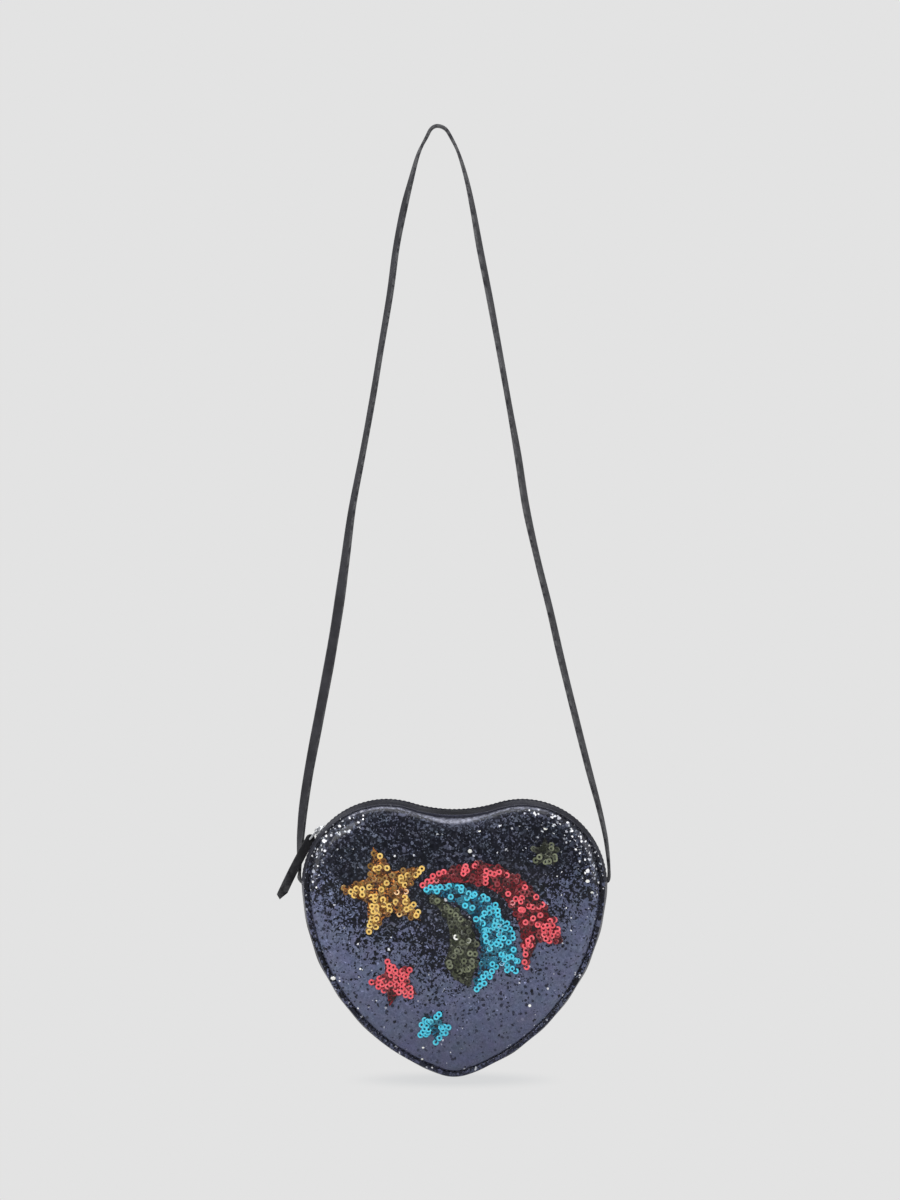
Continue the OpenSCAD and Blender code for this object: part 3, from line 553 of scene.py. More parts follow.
def glitter_under_film():
    """The front: glitter under a clear film. The light glitter lies low, up to a ragged border: painted light
    that makes the lower front lighter and the upper darker. Painted glints gather on the rolled edge, the
    crease has painted shade and the rim is darker. At the top a painted highlight lines the rolled edge,
    broader under the cleft."""
    mat = new_material("glitter_under_film")
    where, edge = place(), attribute("edge")
    x, _, z = split(where)
    flat = out("CombineXYZ", {0: x, 1: z})
    aside = maths("ABSOLUTE", (x - ZONE_X) / ZONE_HALF)

    # The height that the painted light goes by, with lighter glitter lower down, and the share of it that
    # follows
    border = (noise(where, 34.0, 3.0, 0.55) - 0.5) * 0.05 + (noise(where, 150.0) - 0.5) * 0.045
    painted_light_level = z - aside ** 1.3 * 0.046 + border
    # Clumps of painted shade darken the glitter around them
    for at_x, at_z, reach, rise in SHADE_CLUMPS:
        off = (x - at_x) ** 2.0 + ((z - at_z) * 1.4) ** 2.0
        painted_light_level = painted_light_level + spread(maths("SQRT", off), reach, 0.0, 0.0, rise)
    ramp = put("ValToRGB", {0: spread(painted_light_level, *LEVELS, steps="LINEAR")})
    stops = ramp.color_ramp.elements
    stops[0].color, stops[1].color = grey(PAINTED_LIGHT_SHARES[0][1]), grey(PAINTED_LIGHT_SHARES[-1][1])
    for at, share in PAINTED_LIGHT_SHARES[1:-1]:
        stops.new(at).color = grey(share)
    rim = spread(edge, RIM_W + 1.0, RIM_W - 0.3)
    painted_light_share = Signal(ramp.outputs[0]) * mix(rim, 1.0, 0.36)

    # Two sizes of glitter, with painted glints on the rolled edge
    rolled = spread(edge, 2.6, 4.2) * spread(edge, 15.0, 4.5)
    shine = rolled * spread(z, *SHINES) * spread(aside, 0.42, 0.8)
    edge_glint_mask = spread(edge, 5.5, 2.0) * spread(aside, 0.2, 0.6, 0.3, 1.0)
    upper, tip = spread(painted_light_level, *PAINTED_SHADE_UPPER), spread(z, *TIP)
    given = {shade: blend(tip, blend(upper, colour(*middle), colour(*over)), colour(*under))
             for shade, (middle, over, under) in PAINTED_ZONE_SHADES.items()}
    given.update(Vector=where, Light_Share=painted_light_share, Glint_Share=shine * 0.07 + edge_glint_mask * 0.03 + 0.004,
                 Glint=colour(240, 243, 252))
    large = use(GLITTER, Flake_Size=0.0016, Tilt=0.42, **given)
    little = use(GLITTER, Flake_Size=0.0008, Tilt=0.6, **given)
    turn = spread(noise(where, 330.0), 0.46, 0.54)
    tone = blend(turn, large["Color"], little["Color"])
    tone = blend(0.14, tone, noise(where, 120.0, key="Color"), "SOFT_LIGHT")

    # Dark specks low down, and painted glints as bright round flakes on the rolled edge
    pits = use(SPECKS, Vector=flat, Cell_Size=0.0037, Share=spread(painted_light_level, *PITS, 0.0, 0.42))
    tone = blend(pits["Mask"] * spread(tip, 0, 1, 0.85, 0.6), tone, colour(20, 22, 36))
    wide = use(SPECKS, Vector=flat, Cell_Size=0.0044, Share=shine * 0.46)
    fine = use(SPECKS, Vector=flat, Cell_Size=0.0027, Share=shine * 0.36 + edge_glint_mask * 0.06 + 0.012)
    for spots in (fine, wide):
        bright = blend(spread(spots["Tone"], 0.0, 0.6), colour(128, 132, 152), colour(250, 250, 254))
        tone = blend(spots["Mask"], tone, bright)

    # The rim and the crease are dark, except at the top; the crease's darkening is painted shade
    top = spread(z, *TOP) * spread(aside, 0.8, 0.6)
    rest = 1.0 - top
    crease = spread(edge, RIM_W - 0.75, RIM_W - 0.1) * spread(edge, RIM_W + 0.8, RIM_W + 0.1)
    for share, shade in ((rim * rest * 0.25, (14, 14, 24)), (rim * top * 0.8, (45, 46, 59)),
                         (crease * rest * 0.5, (11, 11, 17))):
        tone = blend(share, tone, colour(*shade))

    # A painted highlight: the line of light just inside the rim, and a painted glow below it
    under_cleft = math.e ** (((x - DIP_X) / 0.012) ** 2.0 * -1.0)
    past = edge - (RIM_W - 0.1)
    width, full = mix(under_cleft, 1.5, 4.3), mix(under_cleft, 0.4, 2.3)
    line = spread(past, -0.3, full) * spread(past, width, width * 0.55)
    ragged = spread(noise(where, 520.0, 3.0, 0.6), 0.32, 0.6, 0.35, 1.0)
    tone = blend(top * under_cleft * spread(past, 13.0, 6.0, 0.0, 0.55), tone, colour(60, 62, 78))
    tone = blend(line * top * (ragged * spread(under_cleft, 0, 1, 0.75, 0.9)), tone, colour(138, 140, 156))

    normal = out("Mix", {0: turn, 4: large["Normal"], 5: little["Normal"]}, 1, data_type="VECTOR")
    glints = most(large["Glints"], little["Glints"], wide["Mask"], fine["Mask"])
    return principled(
        mat, Base_Color=tone, Normal=normal, Metallic=mix(glints, 0.5, 0.1),
        Roughness=mix(glints, 0.38, 0.24), Coat_Weight=0.32, Coat_Roughness=0.1, Coat_IOR=1.45,
        Specular_IOR_Level=0.2)


def sequin_foil(name, bright, dark):
    """Glossy foil rings: each ring's own tone runs from dark to bright, its crown is lighter as a painted
    highlight, and fine specks add painted highlights.
    """
    mat = new_material(name)
    tone = attribute("tone")
    face = blend(attribute("crown"), shaded(bright, 0.55), bright)
    # Fine specks of painted highlight
    highlight_speck = spread(noise(place(), 900.0), 0.48, 0.62) * 0.5
    face = blend(highlight_speck, face, shaded(bright, 1.1, 0.16))
    return principled(
        mat, Base_Color=blend(tone, dark, face), Roughness=mix(tone, 0.22, 0.34),
        Metallic=mix(tone, 0.4, 0.1), Coat_Weight=0.4, Coat_Roughness=0.1, Specular_IOR_Level=0.5)


def sequin_ground(name, dark, mid):
    """The cloth under the sequins, covered with dark foil scraps, a few of them in a painted glint colour."""
    mat = new_material(name)
    scraps = use(
        GLITTER, Vector=place(), Flake_Size=0.0009, Light_Share=0.32, Tilt=0.6, Glint_Share=0.035,
        Dark=dark, Deep=shaded(dark, 0.3), Light=mid, Pale=mid, Glint=shaded(mid, 2.2, 0.1))
    return principled(
        mat, Base_Color=scraps["Color"], Normal=scraps["Normal"], Roughness=mix(scraps["Glints"], 0.4, 0.2),
        Metallic=mix(scraps["Lights"], 0.3, 0.6), Coat_Weight=0.25, Coat_Roughness=0.15)


def nickel_plate():
    """Nickel plate: pale metal with faint clouding and hairlines."""
    mat = new_material("nickel_plate")
    where = place()
    cloud = noise(where, 300.0, 4.0, 0.6)
    hair = noise(vectors("MULTIPLY", where, (900.0, 6000.0, 900.0)), 1.0)
    return principled(
        mat, Base_Color=blend(cloud, colour(168, 170, 174), colour(214, 215, 218)),
        Roughness=spread(hair, 0.3, 0.7, 0.16, 0.34), Metallic=1.0 - cloud * 0.05,
        Normal=bump(cloud + hair * 0.3, 0.12, 0.00008))


def woven(name, base, thread):
    """Woven cloth on the piece's UV map, with thread relief and uneven dye."""
    mat = new_material(name)
    weave = use(WEAVE, Vector=out("UVMap"), Thread=thread)
    tone = blend(weave["Height"], shaded(base, 0.45), base)
    tone = blend(spread(weave["Shade"], 0.4, 0.7, 0, 0.4), tone, shaded(base, 1.35))
    return principled(
        mat, Base_Color=tone, Roughness=spread(weave["Shade"], 0.2, 0.8, 0.72, 0.88),
        Normal=bump(weave["Height"], 0.5, 0.0001), Sheen_Weight=0.25, Sheen_Roughness=0.5,
        Specular_IOR_Level=0.2)


def speckled(name, base, other, scale, rough, depth=0.0001, coat=0.0):
    """A solid with fibres or flecks: two tones mixed by fine noise, with matching relief."""
    mat = new_material(name)
    fine = noise(place(), scale, 5.0, 0.65)
    return principled(
        mat, Base_Color=blend(spread(fine, 0.35, 0.65), base, other), Normal=bump(fine, 0.35, depth),
        Roughness=spread(fine, 0.3, 0.7, rough - 0.07, rough + 0.07), Coat_Weight=coat, Coat_Roughness=0.2)


navy = leathercloth("navy_leathercloth", colour(40, 41, 58), colour(82, 84, 104), 0.0013, gloss=0.26)
# The facing gets painted shade under the cleft
facing_mat = leathercloth("facing_leathercloth", colour(37, 38, 49), colour(69, 70, 84), 0.0013, rough=0.58,
                          gloss=0.06, cleft_shade=0.85)
# The strap's lighter tone: wear on the edges, and a painted sheen on the right leg
strap_mat = leathercloth("strap_leathercloth", colour(37, 37, 44), colour(84, 84, 86), rough=0.5)
tab_mat = leathercloth("tab_leathercloth", colour(24, 24, 29), colour(76, 76, 78), rough=0.45, gloss=0.2)
film, metal = glitter_under_film(), nickel_plate()
tape_mat = woven("zip_tape_cloth", colour(30, 30, 42), 0.00035)
lining_mat = woven("lining_cloth", colour(58, 58, 76), 0.0003)
teeth_mat = speckled("zip_teeth_plastic", colour(26, 26, 32), colour(40, 40, 48), 2500.0, 0.34, coat=0.3)
wadding_mat = speckled("wadding", colour(208, 208, 202), colour(178, 178, 172), 500.0, 0.9, 0.0004)
card_mat = speckled("card", colour(158, 142, 120), colour(132, 116, 96), 700.0, 0.85)
greyboard_mat = speckled("greyboard", colour(128, 126, 120), colour(102, 100, 96), 600.0, 0.88)
thread_mat = speckled("dark_thread", colour(26, 26, 37), colour(58, 58, 74), 5000.0, 0.6)
bar_thread_mat = speckled("pale_thread", colour(150, 150, 160), colour(112, 112, 124), 5000.0, 0.6)

# Bright and dark foil of the rings, then dark and middle tone of the cloth under them
PALETTE = {
    "gold": ((255, 208, 108), (96, 50, 16), (66, 34, 12), (182, 112, 44)),
    "red": ((255, 92, 104), (60, 5, 13), (42, 4, 10), (120, 15, 29)),
    "blue": ((72, 210, 240), (8, 56, 82), (5, 36, 56), (24, 116, 152)),
    "olive": ((120, 126, 98), (32, 36, 27), (22, 25, 19), (66, 70, 54)),
    "clear": ((250, 250, 244), (120, 122, 110)),
}
foil = {tint: sequin_foil(tint + "_sequins", colour(*v[0]), colour(*v[1])) for tint, v in PALETTE.items()}
ground = {tint: sequin_ground(tint + "_sequin_ground", colour(*v[2]), colour(*v[3]))
          for tint, v in PALETTE.items() if v[2:]}


def finish_piece(obj, material, body="bag", nodes=()):
    obj.data.materials.append(material)
    if body:
        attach(obj, body)
    if nodes:
        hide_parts(*nodes)
    return obj


# Panels
def seam_columns(narrow, fine=1):
    """The seam line, the way inwards from each of its points, and the rim's share of its full width there: a
    narrow rim goes down to 0.3 over the lobes and 0.5 in the cleft."""
    seam = outline(0.0, fine)
    inwards = outline(1.0, fine) - seam
    lobes = 0.5 + 0.2 * soft_step(np.abs(seam[:, 0]), 8, 30)
    return seam, inwards, 1 - narrow * soft_step(seam[:, 1], 8, 34) * lobes


def rim_warp(d, share):
    """Where a nominal distance from the seam really lies: the rim is scaled by its share, and the next 12 mm
    give way evenly."""
    rim = RIM_W * share
    return np.where(d <= RIM_W, d * share, rim + (d - RIM_W) * (WARP_END - rim) / (WARP_END - RIM_W))


def panel_rings(first, steps_in=30, narrow=0.0):
    """Nominal and real places of the panel's points: insets from the seam, closest at the crease, then rings
    shrunk towards the middle."""
    insets = np.array([first] + [d for d in (
        0.35, 0.8, 1.4, 2.0, 2.35, 2.6, 2.8, 2.95, 3.1, 3.3, 3.55, 3.9, 4.4, 5.0, 5.8, 6.7, 7.8, 9.0, 10.4,
        11.9, 13.4) if d > first] + [WARP_END])[:, None]
    seam, inwards, share = seam_columns(narrow)
    nominal = seam + insets[..., None] * inwards
    real = seam + rim_warp(insets, share)[..., None] * inwards
    shrink = np.linspace(1, 0.02, steps_in + 1)[1:, None, None]
    middle = BELLY_C + shrink * (nominal[-1] - BELLY_C)
    return np.concatenate([nominal, middle]), np.concatenate([real, middle])


def between(name, rings, upper, lower, step, sign, **keys):
    """A closed form over rings in the heart's plane: outwards at the upper depths, and back at the lower ones
    in steps of several rings."""
    grid = [upright(rings, -sign * upper)[::-1], upright(rings, -sign * lower)[::step]]
    return capped_rings(name, in_row(np.concatenate(grid)), flip=sign > 0, **keys)


def panel_shell(name, height, sign, ripple, narrow):
    """The skin of a panel. Its outer face is rim height + dome - a narrow groove at the crease + soft waves
    that fade towards the rim + a fine pucker just inside the crease."""
    nominal, real = panel_rings(0.0, narrow=narrow)
    d = edge_distance(nominal)
    base = height(nominal)
    groove = 0.42 * bell(d, RIM_W, 0.42)
    soft = ripple * waves(real, 26, 3) * np.clip((d - 4) / 12, 0, 1)
    pucker = 0.10 * waves(real, 5, 9) * bell(d, 4.4, 1.6)
    outer = HALF_D + SKIN_T + base - groove + soft + pucker
    outer[0] -= CUT_EASE
    inner = HALF_D + np.where(d < RIM_W, BOARD_GAP, base * 0.97)
    key = np.concatenate([d[::-1], d[::3] * 0])
    wear = bell(key, 0, 1.1) + 0.5 * bell(key, 7.0, 2.2)
    return between(name, real, outer, inner, 3, sign, smooth_angle=55, edge=key, border=wear)


finish_piece(panel_shell("front_glitter_panel", front_height, 1, 0.16, 1.0), film,
             nodes=["front_panel"])
finish_piece(panel_shell("back_leathercloth_panel", back_height, -1, 0.3, 0.0), navy, nodes=["back_panel"])


def padding(name, height, sign):
    """Wadding under a panel's dome: crowned, with a thin edge, and flat where it lies on its board."""
    rings = panel_rings(RIM_W + 2 * SKIN_T, 24)[0]
    top = HALF_D + height(rings) - 0.4 + 0.1 * waves(rings, 12, 5)
    top[0] = HALF_D + 0.3
    return between(name, rings, top, HALF_D + BOARD_GAP, 4, sign)


for name, height, sign in (("front", front_height, 1), ("back", back_height, -1)):
    pad = finish_piece(padding(name + "_wadding", height, sign), wadding_mat,
                       nodes=[name + "_padding"])


def stitches(name, points, ways, ups, length, radius):
    """A row of short stitches: capsules of 6 x 4 points, each laid along its way and sunk at both ends."""
    t, a = np.linspace(-1, 1, 6), full_turn(4)
    fat = radius * np.sqrt(1 - (t * 0.97) ** 6)
    lift = radius * (0.9 - 1.5 * t**4)
    form = np.stack([np.repeat(t * length / 2, 4), np.outer(fat, np.cos(a)).ravel(),
                     np.outer(fat, np.sin(a)).ravel() + np.repeat(lift, 4)], -1)
    quads = np.concatenate([ring_quads(6, 4), [[3, 2, 1, 0], [20, 21, 22, 23]]])
    return copies(name, form, quads, points, (ways, np.cross(ups, ways), ups), smooth_angle=180)


def even(line, pitch):
    """Points at an even pitch along a line in the plane, and the unit directions there. Further columns of
    the line are carried along."""
    run = run_length(line[:, :2])
    count = int(run[-1] / pitch)
    at = (np.arange(count) + 0.5) * run[-1] / count

    def on_line(where):
        return np.stack([np.interp(where, run, column) for column in line.T], -1)

    points = on_line(at)
    return points, unit((on_line(np.minimum(at + 0.3, run[-1])) - points)[:, :2])


for side, sign, narrow, slot in (
        ("front", 1, 1.0, "glitter_leathercloth"), ("back", -1, 0.0, "navy_leathercloth")):
    # Stitches in the crease, along the outline drawn in by the rim's width
    seam, inwards, share = seam_columns(narrow, 4)
    ring = seam + ((RIM_W + 0.05) * share)[:, None] * inwards
    points, ways = even(np.concatenate([ring, ring[:1]]), CREASE_STITCH[0])
    spots, ways = upright(points, -sign * (HALF_D + SKIN_T - 0.36)), upright(ways, 0.0)
    row = stitches(side + "_crease_stitches", spots, ways, np.tile([0.0, -sign, 0.0], (len(spots), 1)),
                   *CREASE_STITCH[1:])
    finish_piece(row, thread_mat)


# Side wall, facings and zip tapes: a profile carried along stations on the seam
def bottom_stations(fine=2):
    return joined(
        arc(LOBE_C * [-1, 1], LOBE_R, math.pi - SEAM, math.pi - SIDE_TOP, 4 * fine),
        arc(SIDE_C * [-1, 1], SIDE_R, math.pi - SIDE_TOP, math.pi - SIDE_BOTTOM, 50 * fine),
        arc(TIP_C, TIP_R, math.pi - SIDE_BOTTOM, 2 * math.pi + SIDE_BOTTOM, 16 * fine),
        arc(SIDE_C, SIDE_R, SIDE_BOTTOM, SIDE_TOP, 50 * fine),
        arc(LOBE_C, LOBE_R, SIDE_TOP, SEAM, 4 * fine))


def top_stations(fine=2):
    """Stations over both lobes; the angles along the cleft are turned outwards."""
    lobe, cleft = 50 * fine, 20 * fine
    points, angles = joined(
        arc(LOBE_C, LOBE_R, SEAM, CLEFT_ANGLE, lobe),
        arc(CLEFT_C, CLEFT_R, CLEFT_ANGLE - math.pi, -CLEFT_ANGLE, cleft),
        arc(LOBE_C * [-1, 1], LOBE_R, math.pi - CLEFT_ANGLE, math.pi - SEAM, lobe))
    angles[lobe + 1:lobe + cleft + 1] += math.pi
    return points, angles


def wall_form(name, stations, profile, border=0.0, ripple=0.0, seed=1, sign=1):
    """Each station's point + profile x along its outward normal, and profile y to the front; ends are closed.
    Ripple moves the wall outwards by soft waves that fade at the seams."""
    points, angles = stations
    x, f = profile.T
    run, cross = run_length(points)[:, None], run_length(profile)[None]
    where = np.stack(np.broadcast_arrays(run, f[None]), -1)
    push = x[None] + ripple * waves(where, 24, seed) * np.clip(1 - (np.abs(f) / HALF_D) ** 4, 0, 1)
    grid = upright(points[:, None] + push[..., None] * around(angles)[:, None], -f * sign)
    return capped_rings(name, in_row(grid), flip=sign < 0, smooth_angle=50,
                        uv=np.stack(np.broadcast_arrays(run, cross), -1) * MM,
                        border=np.broadcast_to(border, push.shape))


def bulge(f, depth=0.0):
    return BULGE * (1 - (f / HALF_D) ** 2) - depth


def curve(start, end, steps, depth=0.0):
    """Points of the wall's bulge from one distance to another, at a depth below its outer face."""
    f = np.linspace(start, end, steps)
    return np.stack([bulge(f, depth), f], -1)


def strip_profile(low, high, depth, thickness, n=12):
    return np.concatenate([curve(low, high, n, depth), curve(low, high, n, depth + thickness)[::-1]])


SEWN, FOLDED, FOLD_STEP = HALF_D - SEWN_STEP, CHANNEL_W / 2, 0.35
flange = np.array([[-SEWN_STEP, HALF_D], [-FLANGE, HALF_D], [-FLANGE, HALF_D - GUSSET_T]])
fold = [[bulge(FOLDED, GUSSET_T * 0.8), FOLDED + 0.05], [bulge(FOLDED, GUSSET_T / 2), FOLDED],
        [bulge(FOLDED, GUSSET_T * 0.2), FOLDED + 0.05]]
# The gusset's outer curve from back to front, front flange, inner curve back again, and back flange
gusset_profile = np.concatenate([
    curve(-SEWN, SEWN, 25), flange, curve(HALF_D - GUSSET_T, -HALF_D + GUSSET_T, 13, GUSSET_T),
    flange[::-1] * [1, -1]])
# A facing from its folded edge beside the zip to the seam, its flange, and back along the inside
facing_profile = np.concatenate([
    curve(FOLDED + FOLD_STEP, SEWN, 16), flange,
    curve(HALF_D - GUSSET_T, FOLDED + FOLD_STEP, 9, GUSSET_T), fold])


def seam_border(profile):
    """Wear along both seams: high where the wall meets a panel."""
    return 0.55 * bell(HALF_D - np.abs(profile[:, 1]), 0, 1.4) * (profile[:, 0] > -1)


wall = wall_form("leathercloth_gusset", bottom_stations(), gusset_profile, seam_border(gusset_profile), 0.45)
finish_piece(wall, navy, nodes=["bottom_gusset"])
lining_f = HALF_D - BOARD_T - LINING_T
inside_wall = wall_form("gusset_lining_cloth", bottom_stations(1),
                        strip_profile(-lining_f, lining_f, GUSSET_T + TOUCH_GAP, LINING_T))
finish_piece(inside_wall, lining_mat, nodes=["gusset_lining"])


def facing_stitches(name, sign):
    """Topstitching on a facing, 1.8 mm from the folded edge beside the zip."""
    points, angles = top_stations(4)
    f = FOLDED + 1.8
    line = np.concatenate([points + (bulge(f) - 0.08) * around(angles), around(angles)], 1)
    spots = even(line, FACING_STITCH[0])[0]
    up = unit(spots[:, 2:])
    ways = upright(up[:, ::-1] * [-1, 1], 0.0)
    return stitches(name, upright(spots, -sign * f), ways, upright(up, 0.0), *FACING_STITCH[1:])


def lining_plate(name, sign):
    """Lining cloth behind a board: the outline drawn in, flat with slight waves, closed into a thin sheet."""
    edge = outline(GUSSET_T + LINING_T + 1.0)
    rings = np.array([BELLY_C + s * (edge - BELLY_C) for s in np.linspace(1, 0.03, 16)])
    y = HALF_D - BOARD_T - TOUCH_GAP
    lower = y - LINING_T + TOUCH_GAP + 0.08 * waves(rings, 18, 11)
    return between(name, rings, y, lower, 1, sign, uv=np.concatenate([rings[::-1], rings]) * MM)


for side, sign in SIDES:
    facing = wall_form(side + "_zip_facing", top_stations(), facing_profile, seam_border(facing_profile), 0.1,
                       4 + sign, sign)
    finish_piece(facing, facing_mat, nodes=["zip_facing_" + side])
    tape_profile = strip_profile(TAPE_EDGE, TAPE_EDGE + TAPE_W, GUSSET_T + TOUCH_GAP, TAPE_T, 10)
    tape = wall_form(side + "_zip_tape", top_stations(1), tape_profile, sign=sign)
    finish_piece(tape, tape_mat, nodes=["zip_tape_" + side])
for side, sign in SIDES:
    finish_piece(facing_stitches(side + "_facing_stitches", sign), thread_mat)


def side_stitches(name, degrees, reach, length, radius):
    """Stitches from front to back over the side wall, at angles round the right lobe's centre and distances
    from the middle, and their mirror images on the left."""
    a, f = (v.ravel() for v in np.meshgrid(np.radians(degrees), np.asarray(reach, float)))
    ups = upright(around(a), 0.0)
    spots = upright(LOBE_C + (LOBE_R + bulge(f) - 0.05)[:, None] * around(a), -f)
    spots, ups = (np.concatenate([v, v * [-1, 1, 1]]) for v in (spots, ups))
    return stitches(name, spots, np.tile([0.0, -1.0, 0.0], (len(ups), 1)), ups, length, radius)


beside = np.arange(FOLDED + 2.4, HALF_D - 1.2, 2.7)
seam_rows = side_stitches("side_seam_stitches", [SEAM_ANGLE + 2.3, SEAM_ANGLE - 2.3],
                          np.concatenate([-beside, beside]), 2.0, 0.2)
finish_piece(seam_rows, thread_mat)
bars = side_stitches("strap_bartacks", SEAM_ANGLE - np.array([1.7, 2.3, 2.9]), [0.0], 6.4, 0.26)
finish_piece(bars, bar_thread_mat)
for side, sign in SIDES:
    plate = lining_plate(side + "_lining_cloth", sign)
    finish_piece(plate, lining_mat, nodes=[side + "_lining"])

# Strap: the same stops as in the part's source. Shares of the way out, of the drop and (on the left) of the
# bow, and the twist in degrees
LEFT_STOPS = [
    [1.001, 0.994, 0.36, 0], [1.002, 0.988, 0.68, 4], [1.003, 0.975, 0.96, 14], [1, 0.955, 1, 28],
    [0.993, 0.935, 0.9, 40], [0.973, 0.9, 0.5, 52], [0.93, 0.85, 0.15, 60], [0.857, 0.78, 0, 66],
    [0.78, 0.705, 0, 78], [0.721, 0.64, 0, 74], [0.671, 0.575, 0, 50], [0.619, 0.505, 0, 34],
    [0.546, 0.435, 0, 26], [0.476, 0.365, 0, 25], [0.408, 0.29, 0, 25], [0.344, 0.22, 0, 29],
    [0.3, 0.16, 0, 28], [0.247, 0.11, 0, 32], [0.193, 0.07, 0, 20], [0.139, 0.035, 0, 8],
    [0.079, 0.0125, 0, 0], [0.045, 0.0015, 0, 0]]
RIGHT_STOPS = [
    [0.045, 0.0015, 0], [0.078, 0.0125, 0], [0.125, 0.035, 4], [0.171, 0.07, 12], [0.208, 0.11, 21],
    [0.247, 0.16, 28], [0.299, 0.22, 27], [0.356, 0.29, 24], [0.415, 0.365, 22], [0.469, 0.435, 31],
    [0.517, 0.505, 34], [0.585, 0.575, 27], [0.656, 0.64, 29], [0.721, 0.705, 31], [0.802, 0.78, 29],
    [0.88, 0.85, 27], [0.939, 0.9, 20], [0.974, 0.935, 14], [0.988, 0.955, 10], [0.997, 0.975, 5],
    [1, 0.99, 0]]


def strap_line():
    """Stops as x, y, z and twist in the row frame, with each end turned in to its seam, joined by a
    Catmull-Rom curve of eight steps a stop."""
    def leg(rows, way_out):
        across, down, bow, twist = rows.T
        return np.stack([across * way_out, bow * STRAP_BOW, -down * STRAP_DROP, twist], -1)

    out_l, out_r = -(ATTACH_X - HANG), ATTACH_X + HANG
    turn_in = np.array([[8.6, 0, 0, 0], [5.0, 0, 0, 0], [2.0, 0, 0.05, 0], [0.5, 0, 0.9, 0]])
    end_l = turn_in + [out_l, 0, -STRAP_DROP, 0]
    end_r = turn_in[::-1] * [-1, 1, 1, 1] + [out_r, 0, -STRAP_DROP, 0]
    stops = np.concatenate([end_l, leg(np.array(LEFT_STOPS), out_l), [[0, 0, STRAP_T / 2, 0]],
                            leg(np.insert(RIGHT_STOPS, 2, 0, 1), out_r), end_r])
    p = np.concatenate([stops[:1], stops, stops[-1:]])
    t = np.linspace(0, 1, 8, endpoint=False)[None, :, None]
    a, b, c, d = (p[i:len(p) - 3 + i, None] for i in range(4))
    line = 0.5 * (2 * b + (c - a) * t + (2 * a - 5 * b + 4 * c - d) * t**2 + (3 * b - a - 3 * c + d) * t**3)
    return np.concatenate([line.reshape(-1, 4), stops[-1:]])


def strap_form():
    """A flat section with rounded edges carried along the strap's line. Its width turns from front-to-back by
    the twist; the faces hollow slightly and the edges waver a little."""
    line = strap_line()
    centre = line[:, :3]
    way = unit(np.gradient(centre, axis=0))
    outward = unit(np.cross(way, [0, 1, 0]))
    side = np.cross(outward, way)
    twist = np.radians(line[:, 3:])
    across = side * np.cos(twist) + outward * np.sin(twist)
    thick = outward * np.cos(twist) - side * np.sin(twist)
    a = full_turn(28)
    sx, sy = squared(np.cos(a), 0.22), squared(np.sin(a), 0.4)
    run = run_length(centre)
    waver = 1 + 0.03 * np.sin(run / 9.0) * np.sin(run / 23.0 + 1)
    hollow = 1 - 0.10 * (1 - sx**2)
    width = (STRAP_W / 2) * waver[:, None, None] * sx[None, :, None] * across[:, None]
    depth = (STRAP_T / 2) * (sy * hollow)[None, :, None] * thick[:, None] * 0.97
    # The border attribute: wear on the edges, plus a painted sheen that lightens the right leg
    border = 0.9 * np.clip(np.abs(sx) - 0.75, 0, 1) * 4 + 0.28 * np.clip((centre[:, :1] - 10) / 30, 0, 1)
    uv = np.stack(np.broadcast_arrays(run[:, None], a[None]), -1) * MM
    return capped_rings("flat_shoulder_strap", (centre[:, None] + width + depth) * MM, flip=True,
                        smooth_angle=60, border=np.clip(border, 0, 1), uv=uv)


strap = finish_piece(strap_form(), strap_mat, body=None,
                     nodes=["shoulder_strap", "strap_tail_left", "strap_tail_right"])
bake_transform(strap)


# Slider and puller loop: the CAD solids with eased edges
def eased(node, name, width):
    """A copy of a CAD node with its doubles merged and its edges rounded by a narrow bevel."""
    mesh = NODES[node].data.copy()
    mesh.name = name
    mesh.materials.clear()
    obj = link(bpy.data.objects.new(name, mesh))
    bm = bmesh.new()
    bm.from_mesh(mesh)
    bmesh.ops.remove_doubles(bm, verts=bm.verts, dist=1e-7)
    bmesh.ops.dissolve_limit(bm, angle_limit=math.radians(1), verts=bm.verts, edges=bm.edges)
    bm.to_mesh(mesh)
    bm.free()
    mesh.shade_smooth()
    bev = obj.modifiers.new("eased_edges", "BEVEL")
    bev.width, bev.segments, bev.limit_method, bev.angle_limit = width, 2, "ANGLE", math.radians(32)
    bev.harden_normals = True
    return obj


finish_piece(eased("slider", "zip_slider", 0.00022), metal, body="slider", nodes=["slider"])
finish_piece(eased("puller_loop", "slider_puller_loop", 0.00018), metal, body="puller",
             nodes=["puller_loop"])


